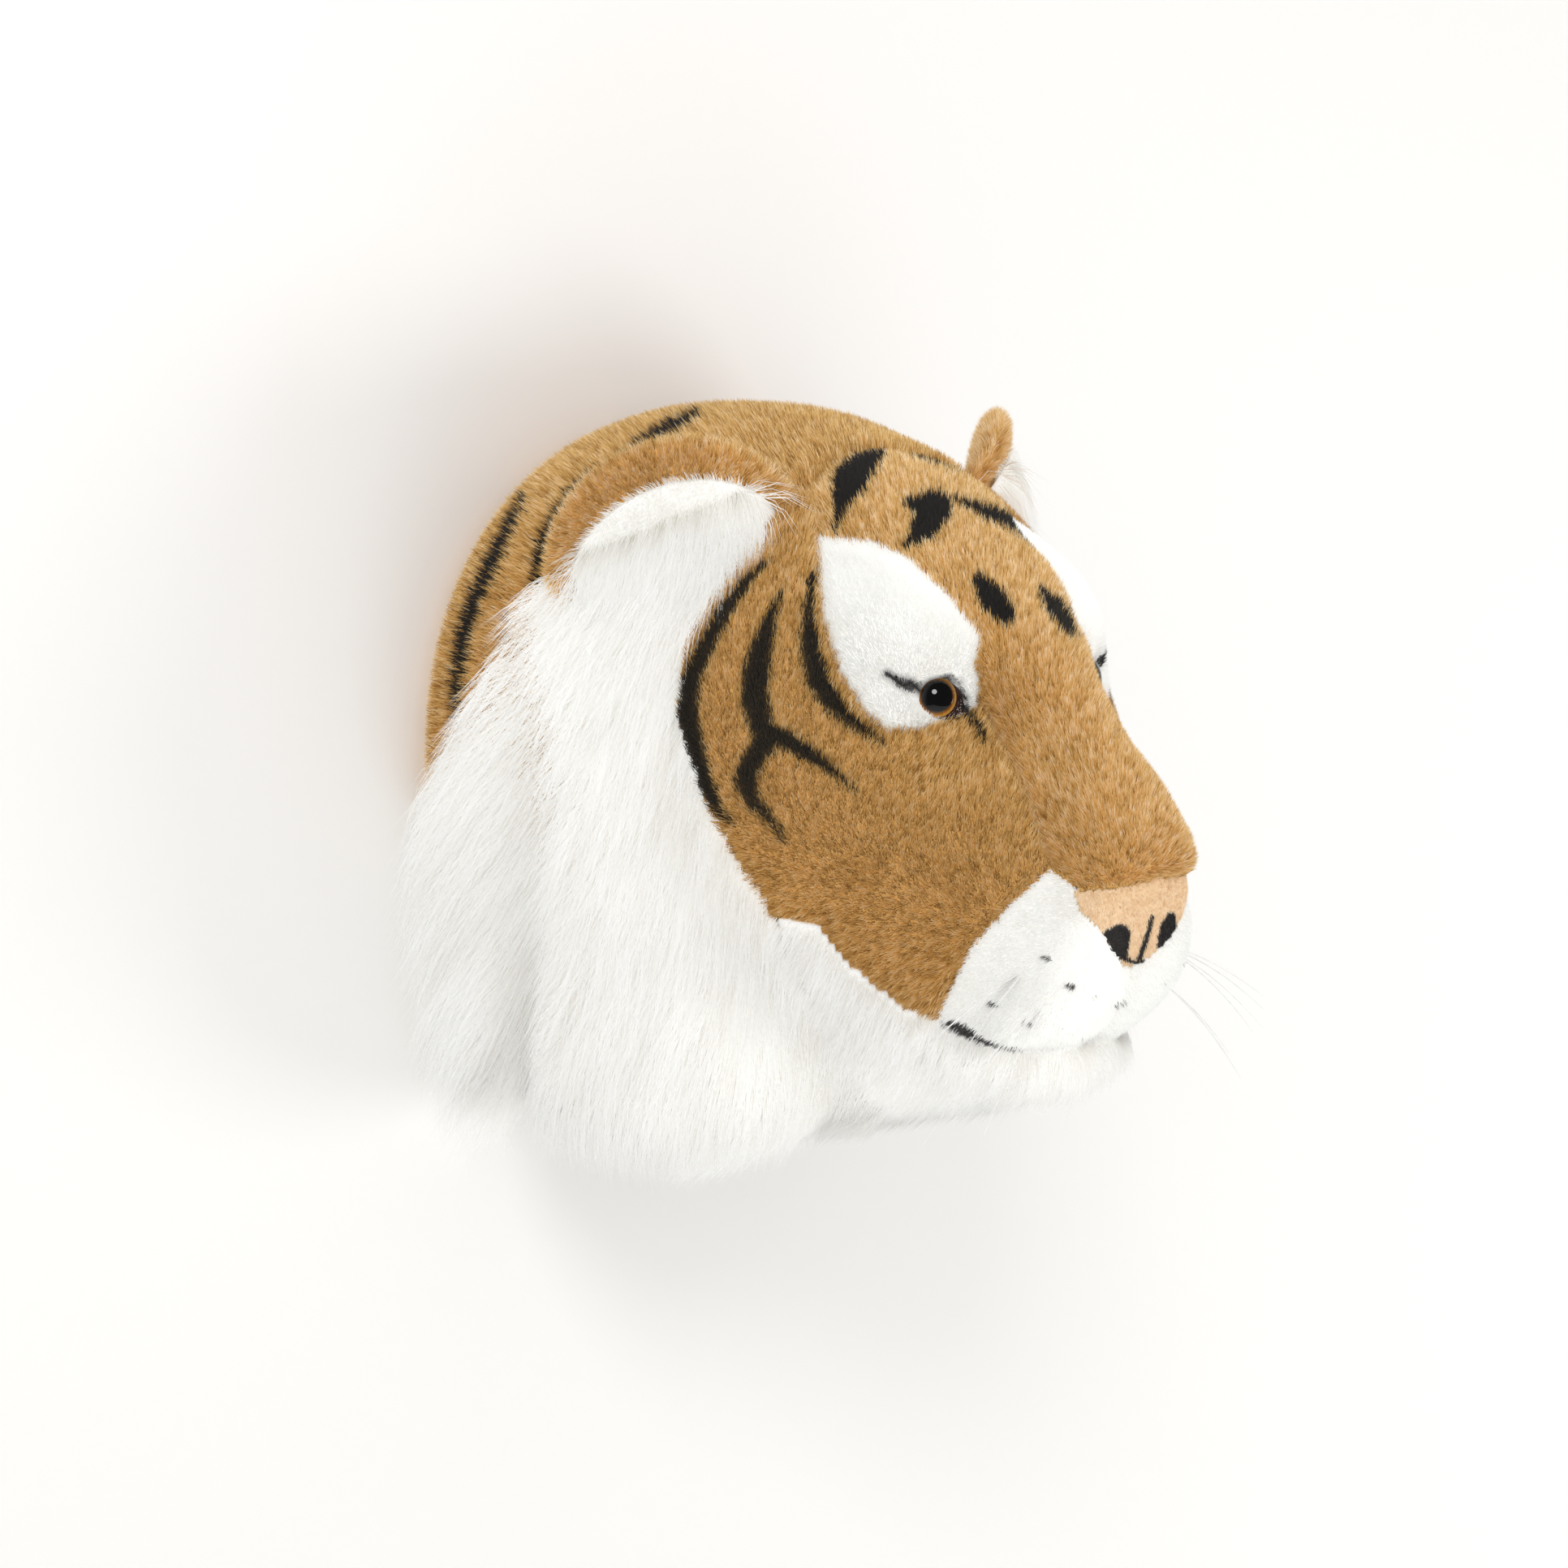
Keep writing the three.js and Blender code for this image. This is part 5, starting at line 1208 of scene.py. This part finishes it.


# The same for the white pile of the lining, which is darkened in the crease of its fold by painted shade
def liningFields(points, heights):
    foldHeight, foldHalf = earFacts["foldHeight"], earFacts["foldHalf"]
    fold = ease(heights, foldHeight - foldHalf, foldHeight + foldHalf)
    # painted shade: the lining's tone is lowered along the crease
    crease = np.exp(-((heights - foldHeight) / earFacts["creaseWidth"]) ** 2)
    shown = (points - points.mean(0)) @ earOut > earFacts["liningBack"]
    comb = np.tile(earPile["liningComb"], (len(points), 1))
    comb = comb - earPile["foldComb"] * fold[:, None] * earAlong
    return {"comb": comb, "lie": earPile["liningLie"] + earPile["liningLieGain"] * (1 - fold),
            "pile": (earPile["lining"] + earPile["liningGain"] * (1 - fold)) * mm,
            "thick": np.ones(len(points)), "inside": np.where(shown, aboveHead(points), -1.0),
            "tone": earPile["liningTone"] - earPile["creaseShade"] * crease}


def makeEar(side):
    for kind, layer in earLayers.items():
        points, faces, fan, heights = earBody(layer)
        fields = (backFields if kind == "back" else liningFields)(points, heights)
        points = points * both[side]
        fields["comb"] = fields["comb"] * both[side]
        if side == "_left":
            faces, fan = faces[:, ::-1], fan[:, ::-1]
        name = "ear_" + kind + side
        body = addShape(name + "_cloth", points, faces.tolist() + fan.tolist(), layer["cloth"])
        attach(body, "head")
        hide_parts(name)
        pile = growPile(name + "_pile", points, faces, fields, layer["tree"], layer["finish"])
        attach(pile, "head")


for side in both:
    makeEar(side)
print("ears made")


# Eyes: a moulded dome with a painted iris, set in a dark felt almond that shows at the corners of the eye

cornerFacts = {"long": 13.5, "short": 7.4, "tilt": -24, "point": 1.25, "bow": -0.02, "back": -0.2, "top": 1.7,
               "profile": [(0.15, -0.2), (0.7, -0.2), (1.0, 0.3), (1.0, 0.9), (0.8, 1.5), (0.15, 1.7)]}


# Moulded acrylic: an iris of amber fibres painted behind a clear dome, and a black pupil. The iris is
# brighter low down: painted light that the clear dome gathers there.
def eyeFinish():
    material, tree = newMaterial("moulded acrylic eye")
    chart = addNode(tree, "ShaderNodeUVMap", uv_map="iris")
    centred = addNode(tree, "ShaderNodeVectorMath", {0: chart.outputs[0], 1: (-0.5, -0.5, 0)},
                      operation="ADD")
    reach = addNode(tree, "ShaderNodeVectorMath", {0: centred.outputs[0]}, operation="LENGTH")
    parts = addNode(tree, "ShaderNodeSeparateXYZ", {0: centred.outputs[0]})
    angle = addNode(tree, "ShaderNodeMath", {0: parts.outputs[1], 1: parts.outputs[0]}, operation="ARCTAN2")
    spokes = addNode(tree, "ShaderNodeCombineXYZ", {0: angle.outputs[0], 1: reach.outputs["Value"]})
    fibres = addNode(tree, "ShaderNodeTexNoise", {"Vector": spokes.outputs[0], "Detail": 3.0,
                                                 "Scale": eyeFacts["radius"] / eyeFacts["streak"]})
    ring = addNode(tree, "ShaderNodeMath", {0: reach.outputs["Value"], 1: 2.0}, operation="MULTIPLY")
    ramp = addNode(tree, "ShaderNodeValToRGB", {0: ring.outputs[0]})
    pupil = eyeFacts["pupil"]
    setRamp(ramp.color_ramp, [(0.0, "#050404"), (pupil - 0.03, "#060505"), (pupil + 0.01, "#3A2210"),
                              (pupil + 0.09, "#8A5A22"), (pupil + 0.16, "#B98238"), (pupil + 0.21, "#D09A48"),
                              (pupil + 0.25, "#5A3418"), (1.0, "#160C08")])
    # painted light: the iris is made brighter low down and darker high up
    low = addNode(tree, "ShaderNodeMapRange", {"Value": parts.outputs[1], "From Min": -0.5, "From Max": 0.4,
                                              "To Min": 1.25, "To Max": 0.55})
    streak = addNode(tree, "ShaderNodeMapRange", {"Value": fibres.outputs["Fac"], "From Min": 0.3,
                                                 "From Max": 0.7, "To Min": 0.75, "To Max": 1.15})
    light = addNode(tree, "ShaderNodeMath", {0: low.outputs[0], 1: streak.outputs[0]}, operation="MULTIPLY")
    lit = addNode(tree, "ShaderNodeVectorMath", {0: ramp.outputs[0], "Scale": light.outputs[0]},
                  operation="SCALE")
    shader = addNode(tree, "ShaderNodeBsdfPrincipled",
                     {"Base Color": lit.outputs[0], "Roughness": 0.04, "IOR": 1.49})
    addNode(tree, "ShaderNodeOutputMaterial", {0: shader.outputs[0]})
    return material


# Needle-punched felt: matt, with matted fibres and no weave. Its fibres are too fine to show, so it is
# mottled by tufts this many millimetres wide.
def feltFinish(name, light, dark, tuft):
    material, tree = newMaterial(name)
    place = addNode(tree, "ShaderNodeTexCoord")
    fuzz = addNode(tree, "ShaderNodeTexNoise", {"Vector": place.outputs["Object"], "Scale": scaleOf(tuft),
                                               "Detail": 4.0, "Roughness": 0.7})
    matted = addNode(tree, "ShaderNodeTexVoronoi", {"Vector": place.outputs["Object"],
                                                   "Scale": scaleOf(2.5 * tuft)})
    blend = addNode(tree, "ShaderNodeMath", {0: fuzz.outputs["Fac"], 1: matted.outputs["Distance"]},
                    operation="MULTIPLY")
    ramp = addNode(tree, "ShaderNodeValToRGB", {0: blend.outputs[0]})
    setRamp(ramp.color_ramp, [(0.1, dark), (0.4, light)])
    bump = addNode(tree, "ShaderNodeBump", {"Strength": 0.5, "Distance": 0.0003,
                                           "Height": fuzz.outputs["Fac"]})
    shader = addNode(tree, "ShaderNodeBsdfPrincipled",
                     {"Base Color": ramp.outputs[0], "Roughness": 0.95, "IOR": 1.5,
                      "Specular IOR Level": 0.15, "Sheen Weight": 0.15, "Normal": bump.outputs[0]})
    addNode(tree, "ShaderNodeOutputMaterial", {0: shader.outputs[0]})
    return material


irisFinish = eyeFinish()
eyeFelt = feltFinish("dark brown felt", "#3A211A", "#1C0F0C", 1.11)


# Outline of the moulding, from the foot of its ribbed post over the dome: radius and height
def eyeProfile():
    facts = eyeFacts
    profile = [[facts["post"] * facts["postTip"], -facts["postLength"]]]
    for rib in range(facts["ribs"]):
        low = -facts["postLength"] + facts["ribStart"] + facts["ribPitch"] * rib
        profile += [[facts["post"] * share, low + rise] for rise, share in facts["ribShape"]]
    profile += [[facts["post"], facts["collar"]], [facts["radius"] - facts["edge"], 0],
                [facts["radius"], facts["edge"]]]
    for step in range(facts["steps"]):
        angle = math.pi / 2 * step / facts["steps"]
        profile.append([facts["radius"] * math.cos(angle),
                        facts["rim"] + (facts["bulge"] - facts["rim"]) * math.sin(angle)])
    return np.array(profile)


# Faces of a piece that is turned about the eye's axis. They point outwards on both sides.
def turnedFaces(rows, side):
    faces = closedFaces(rows, eyeFacts["spokes"])
    return [face[::-1] for face in faces] if side == "_right" else faces


def makeEye(side):
    point, normal, right, up = eyeFrame()
    facts, spokes = eyeFacts, eyeFacts["spokes"]
    at = point - normal * facts["sunk"]
    profile = eyeProfile()
    angle = 2 * math.pi * np.arange(spokes) / spokes
    circle = np.cos(angle)[:, None] * right + np.sin(angle)[:, None] * up
    rows = at + profile[:, 1, None, None] * normal + profile[:, 0, None, None] * circle[None]
    points = np.concatenate([rows.reshape(-1, 3), [at - normal * facts["postLength"],
                                                   at + normal * facts["bulge"]]])
    eye = addShape("eye" + side + "_moulding", points * both[side], turnedFaces(len(rows), side), irisFinish)
    chart = eye.data.uv_layers.new(name="iris")
    local = points - at
    across, rise = local @ right / facts["radius"] / 2 + 0.5, local @ up / facts["radius"] / 2 + 0.5
    shown = local @ normal > -facts["collar"]  # the post and collar take the colour of the rim
    for loop in eye.data.loops:
        v = loop.vertex_index
        chart.data[loop.index].uv = (across[v], rise[v]) if shown[v] else facts["rimPlace"]
    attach(eye, "head")
    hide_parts("eye" + side)


def makeEyeCorner(side):
    point, normal, right, up = eyeFrame()
    facts = cornerFacts
    angle = 2 * math.pi * np.arange(eyeFacts["spokes"]) / eyeFacts["spokes"]
    tilt = math.radians(facts["tilt"])
    along = right * math.cos(tilt) + up * math.sin(tilt)
    short = np.cross(normal, along)
    rim = np.sign(np.cos(angle)) * np.abs(np.cos(angle)) ** facts["point"] * facts["long"]
    rows = []
    for grow, lift in facts["profile"]:
        bow = facts["bow"] * (rim * grow) ** 2
        rows.append(point + normal * (lift + bow)[:, None] + along * (rim * grow)[:, None]
                    + short * (np.sin(angle) * facts["short"] * grow)[:, None])
    points = np.concatenate([np.array(rows).reshape(-1, 3), [point + normal * facts["back"],
                                                             point + normal * facts["top"]]])
    felt = addShape("eye_corner" + side, points * both[side], turnedFaces(len(rows), side), eyeFelt)
    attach(felt, "head")


for side in both:
    makeEye(side)
    makeEyeCorner(side)
print("eyes made")


# Whiskers: tapered nylon monofilament in two bundles on each side, bent along a curve

whiskerInputs = [("Thickness", "NodeSocketFloat", 0.0005), ("Taper", "NodeSocketFloat", 0.25),
                 ("Sides", "NodeSocketInt", 6), ("Material", "NodeSocketMaterial", None)]
whiskerFacts = {"Thickness": 0.00055, "Taper": 0.25}
# each strand reaches across, forward and up from where its bundle is sewn in
bundles = {"steps": 14, "straight": 0.6, "sunk": 3, "apart": 0.5,
           "upper": {"depth": 228.1, "height": -49,
                     "strands": [[84, -12, -38], [80, -14, -46], [70, -2, -30], [60, 6, -40]]},
           "lower": {"depth": 232.2, "height": -60,
                     "strands": [[62, -8, -45], [52, -4, -36], [46, 6, -44]]}}


def buildWhiskerTree():
    tree, given = newTree("whiskers", whiskerInputs)
    paths = addNode(tree, "GeometryNodeMeshToCurve", {"Mesh": given["Geometry"]})
    along = addNode(tree, "GeometryNodeSplineParameter")
    size = addNode(tree, "ShaderNodeMapRange", {"Value": along.outputs["Factor"], "To Min": 1.0,
                                               "To Max": given["Taper"]})
    # a profile of half the thickness, scaled down towards the tip
    half = addNode(tree, "ShaderNodeMath", {0: given["Thickness"], 1: 0.5}, operation="MULTIPLY")
    profile = addNode(tree, "GeometryNodeCurvePrimitiveCircle", {"Resolution": given["Sides"],
                                                                "Radius": half.outputs[0]}, mode="RADIUS")
    strands = addNode(tree, "GeometryNodeCurveToMesh",
                      {"Curve": paths.outputs[0], "Profile Curve": profile.outputs[0],
                       "Scale": size.outputs[0], "Fill Caps": True})
    solid = addNode(tree, "GeometryNodeRealizeInstances", {"Geometry": strands.outputs[0]})
    smooth = addNode(tree, "GeometryNodeSetShadeSmooth", {"Geometry": solid.outputs[0]})
    dyed = addNode(tree, "GeometryNodeSetMaterial",
                   {"Geometry": smooth.outputs[0], "Material": given["Material"]})
    addNode(tree, "NodeGroupOutput", {0: dyed.outputs[0]})
    return tree


whiskerTree = buildWhiskerTree()
# Nylon monofilament: clear white, smooth and shiny, with faint clouding every 4 mm along its length
nylon = patternedFinish("white nylon monofilament", "ShaderNodeTexNoise", {"Scale": scaleOf(4)},
                        [(0.35, "#E9E7E2"), (0.65, "#FCFCFB")], {"Roughness": 0.28, "IOR": 1.53})


def makeWhiskers(side, level):
    root, normal = skinAt(bundles[level]["depth"], bundles[level]["height"])
    points, edges, steps = [], [], bundles["steps"]
    for k, (across, forward, drop) in enumerate(bundles[level]["strands"]):
        start = root - normal * bundles["sunk"] + np.array([k % 2, 0, k // 2]) * bundles["apart"]
        for i in range(steps + 1):
            t = i / steps
            bend = bundles["straight"] * t + (1 - bundles["straight"]) * t * t
            points.append((start + [-across * t, -forward * t, drop * bend]) * both[side] * mm)
            if i:
                edges.append((len(points) - 2, len(points) - 1))
    paths = bpy.data.meshes.new("whisker_paths")
    paths.from_pydata([list(p) for p in points], edges, [])
    name = "whiskers_" + level + side
    piece = addObject(name + "_nylon", madeBy(whiskerTree, paths, {**whiskerFacts, "Material": nylon}))
    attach(piece, "head")
    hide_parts(name)


for side in both:
    for level in ("upper", "lower"):
        makeWhiskers(side, level)
print("whiskers made")


# Stuffing: the filled core under the skin, swollen by its filling between the seams

stuffingFacts = {"inset": 4.6, "rows": 40, "around": 52, "firstRow": 3, "board": 14.2, "pressure": 4.0,
                 "most": 2.0, "frames": 16, "quality": 6, "sewnWithin": 4, "boardWithin": 20}
# Polyester fibre filling: white, matt, cloudy tufts of about 8 mm
filling = patternedFinish("polyester fibre filling", "ShaderNodeTexNoise",
                          {"Scale": scaleOf(8.33), "Detail": 6.0, "Distortion": 1.5},
                          [(0.3, "#DAD8D2"), (0.7, "#F6F5F2")], {"Roughness": 0.95, "IOR": 1.5},
                          {"Strength": 0.6, "Distance": 0.001})


# Lets the filling press the cloth outwards. It is held where the skin is sewn and at the board.
def swell(piece, points, insides):
    facts = stuffingFacts
    nearSeam = np.sort(np.abs(insides), 0)[0] < facts["sewnWithin"]
    atBoard = -points[:-2, 1] < facts["boardWithin"]
    held = piece.vertex_groups.new(name="held")
    held.add([*map(int, np.nonzero(nearSeam | atBoard)[0]), len(points) - 2, len(points) - 1], 1.0, "REPLACE")
    cloth = piece.modifiers.new("cloth", "CLOTH")
    cloth.settings.quality = facts["quality"]
    cloth.settings.use_pressure = True
    cloth.settings.uniform_pressure_force = facts["pressure"]
    cloth.settings.vertex_group_mass = "held"
    cloth.settings.effector_weights.gravity = 0
    cloth.point_cache.frame_start, cloth.point_cache.frame_end = 1, facts["frames"]
    for step in range(1, facts["frames"] + 1):
        scene.frame_set(step)
    settled = piece.evaluated_get(bpy.context.evaluated_depsgraph_get()).to_mesh()
    moves = np.array([v.co for v in settled.vertices]) / mm - points
    size = np.linalg.norm(moves, axis=1)
    moves *= np.minimum(1, facts["most"] / np.maximum(size, 1e-6))[:, None]
    piece.to_mesh_clear()
    piece.modifiers.remove(cloth)
    piece.vertex_groups.clear()
    for vertex, place in zip(piece.data.vertices, (points + moves) * mm):
        vertex.co = place
    scene.frame_set(1)
    print("stuffing swelled by up to", round(float(size.max()), 2), "mm")


def makeStuffing():
    facts, around = stuffingFacts, stuffingFacts["around"]
    core = Surface(facts["rows"], around)
    first = (len(headForm["fold"]) + facts["firstRow"]) * around
    points = (core.points - core.normals * facts["inset"])[first:]
    points[:, 1] = np.minimum(points[:, 1], -facts["board"])
    rows = len(points) // around
    points = np.concatenate([points, [points[:around].mean(0), points[-around:].mean(0)]])
    piece = addShape("head_stuffing", points, closedFaces(rows, around), filling)
    sewn = ("nosePad", "eyePatch", "lip", "neck", "bridge", "chin", "ruffFront", "cheek")
    swell(piece, points, np.stack([core.inside[name][first:] for name in sewn]))
    finer = piece.modifiers.new("finer", "SUBSURF")
    finer.levels = finer.render_levels = 1
    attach(piece, "head")
    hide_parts("head_filling")


makeStuffing()
print("stuffing made")


# Backing and hanger keep the shape of their CAD solids and get their finishes

# Medium-density fibreboard: pressed brown fibres, matt. Its fibres are too fine to show, so its flecks are
# drawn as coarse as 1.4 mm.
fibreboard = patternedFinish("fibreboard", "ShaderNodeTexNoise", {"Scale": scaleOf(1.43), "Detail": 5.0},
                             [(0.3, "#8E6B42"), (0.7, "#BC9563")], {"Roughness": 0.8, "IOR": 1.5})
# Polypropylene: milky white, slightly shiny, faint flow marks from the mould every 3.5 mm. A wave texture
# repeats 10 / pi times as often as its scale says.
washerPlastic = patternedFinish("polypropylene washer", "ShaderNodeTexWave",
                                {"Scale": math.pi / 10 * scaleOf(3.49), "Distortion": 6.0},
                                [(0.2, "#DDDEDC"), (0.8, "#ECEDEB")], {"Roughness": 0.45, "IOR": 1.49})


# Plated wire and sheet: bright metal with faint handling marks, this many millimetres wide, in its colour
# and roughness
def metalFinish(name, colour, worn, roughness, mark=2.5):
    material, tree = newMaterial(name)
    place = addNode(tree, "ShaderNodeTexCoord")
    marks = addNode(tree, "ShaderNodeTexNoise", {"Vector": place.outputs["Object"], "Scale": scaleOf(mark),
                                                "Detail": 4.0})
    ramp = addNode(tree, "ShaderNodeValToRGB", {0: marks.outputs["Fac"]})
    setRamp(ramp.color_ramp, [(0.35, worn), (0.6, colour)])
    rough = addNode(tree, "ShaderNodeMapRange", {"Value": marks.outputs["Fac"], "From Min": 0.3,
                                                "From Max": 0.7, "To Min": roughness + 0.12,
                                                "To Max": roughness - 0.05})
    shader = addNode(tree, "ShaderNodeBsdfPrincipled",
                     {"Base Color": ramp.outputs[0], "Metallic": 1.0, "Roughness": rough.outputs[0]})
    addNode(tree, "ShaderNodeOutputMaterial", {0: shader.outputs[0]})
    return material


def finishNode(name, material):
    mesh = nodes[name].data
    mesh.materials.clear()
    mesh.materials.append(material)


zinc = metalFinish("zinc-plated steel", "#C9CCCE", "#A9ACAE", 0.3)
finishNode("back_board", fibreboard)
finishNode("back_lining", feltFinish("charcoal needle felt", "#4A4A4D", "#232326", 0.714))
finishNode("hanger_strap", metalFinish("brass-plated strap", "#D0AA58", "#A8833C", 0.3))
finishNode("hanger_ring", metalFinish("nickel-plated ring wire", "#D2D2CF", "#B4B3AE", 0.22))
for name in nodes:
    if name.startswith("eye_washer"):
        finishNode(name, washerPlastic)
    if name.startswith(("hanger_screw", "skin_staple")):
        finishNode(name, zinc)
print("backing and hanger finished")


# Studio: a white wall, a pale floor and soft light from the front right

stageFacts = {"wall": "#FCFAF7", "floor": "#F4F4F4", "roughness": 0.9, "halfWidth": 3, "floorHeight": -1.2,
              "wallTop": 2.5, "wallGap": 0.0008}


def addPlane(name, corners, material):
    mesh = bpy.data.meshes.new(name)
    mesh.from_pydata(corners, [], [(0, 1, 2, 3)])
    mesh.materials.append(material)
    return addObject(name, mesh)


def makeStage():
    facts = stageFacts
    wide, low, top, gap = facts["halfWidth"], facts["floorHeight"], facts["wallTop"], facts["wallGap"]
    # the wall is clear from behind, for views of the back
    wallMaterial, tree = newMaterial("white wall")
    seen = addNode(tree, "ShaderNodeNewGeometry")
    paint = addNode(tree, "ShaderNodeBsdfPrincipled", {"Base Color": linear(facts["wall"]),
                                                       "Roughness": facts["roughness"]})
    clear = addNode(tree, "ShaderNodeBsdfTransparent")
    mixed = addNode(tree, "ShaderNodeMixShader", {0: seen.outputs["Backfacing"], 1: paint.outputs[0],
                                                 2: clear.outputs[0]})
    addNode(tree, "ShaderNodeOutputMaterial", {0: mixed.outputs[0]})
    wall = addPlane("wall", [(-wide, gap, low), (wide, gap, low), (wide, gap, top), (-wide, gap, top)],
                    wallMaterial)
    wall.visible_shadow = False
    wall.visible_diffuse = False
    wall.visible_glossy = False
    floorMaterial, tree = newMaterial("pale floor")
    paint = addNode(tree, "ShaderNodeBsdfPrincipled", {"Base Color": linear(facts["floor"]),
                                                       "Roughness": facts["roughness"]})
    addNode(tree, "ShaderNodeOutputMaterial", {0: paint.outputs[0]})
    floor = addPlane("floor", [(-wide, -wide, low), (wide, -wide, low), (wide, wide, low),
                               (-wide, wide, low)], floorMaterial)


lampFacts = {"key": {"at": (1.2, -1.3, -0.35), "size": 0.6, "power": 7.5, "shines": True},
             "near": {"at": (-1.0, -1.25, 0.98), "size": 0.55, "power": 8, "shines": True},
             "top": {"at": (-1.7, -0.9, 0.9), "size": 1.5, "power": 8, "shines": False}}
lampAim = (0, -0.13, 0)
worldFacts = {"light": 0.66, "behindCamera": 0.12}


def makeLights():
    world = bpy.data.worlds.new("studio")
    scene.world = world
    world.use_nodes = True
    tree = world.node_tree
    tree.nodes.clear()
    path = addNode(tree, "ShaderNodeLightPath")
    way = addNode(tree, "ShaderNodeTexCoord")
    parts = addNode(tree, "ShaderNodeSeparateXYZ", {0: way.outputs["Generated"]})
    # what shines reflects the white wall, and a dimmer room on the other side
    room = addNode(tree, "ShaderNodeMapRange", {"Value": parts.outputs[1], "From Min": -0.3,
                                               "From Max": 0.2, "To Min": worldFacts["behindCamera"],
                                               "To Max": 1.0})
    either = addNode(tree, "ShaderNodeMath", {0: path.outputs["Is Camera Ray"],
                                             1: path.outputs["Is Transmission Ray"]}, operation="MAXIMUM")
    soft = addNode(tree, "ShaderNodeBackground", {"Color": linear("#FFFFFF"),
                                                 "Strength": worldFacts["light"]})
    shine = addNode(tree, "ShaderNodeBackground", {"Color": linear("#FFFFFF"),
                                                  "Strength": room.outputs[0]})
    white = addNode(tree, "ShaderNodeBackground", {"Color": linear("#FFFFFF"), "Strength": 1.0})
    mixed = addNode(tree, "ShaderNodeMixShader", {0: path.outputs["Is Glossy Ray"], 1: soft.outputs[0],
                                                 2: shine.outputs[0]})
    mixed = addNode(tree, "ShaderNodeMixShader", {0: either.outputs[0], 1: mixed.outputs[0],
                                                 2: white.outputs[0]})
    addNode(tree, "ShaderNodeOutputWorld", {0: mixed.outputs[0]})
    for name, facts in lampFacts.items():
        data = bpy.data.lights.new(name, "AREA")
        data.shape = "DISK"
        data.size = facts["size"]
        data.energy = facts["power"]
        lamp = bpy.data.objects.new(name, data)
        lamp.location = facts["at"]
        lamp.rotation_euler = (Vector(facts["at"]) - Vector(lampAim)).to_track_quat("Z", "Y").to_euler()
        lamp.visible_glossy = facts["shines"]
        scene.collection.objects.link(lamp)


makeStage()
makeLights()
scene.view_settings.view_transform = "Standard"
print("stage and lights ready")
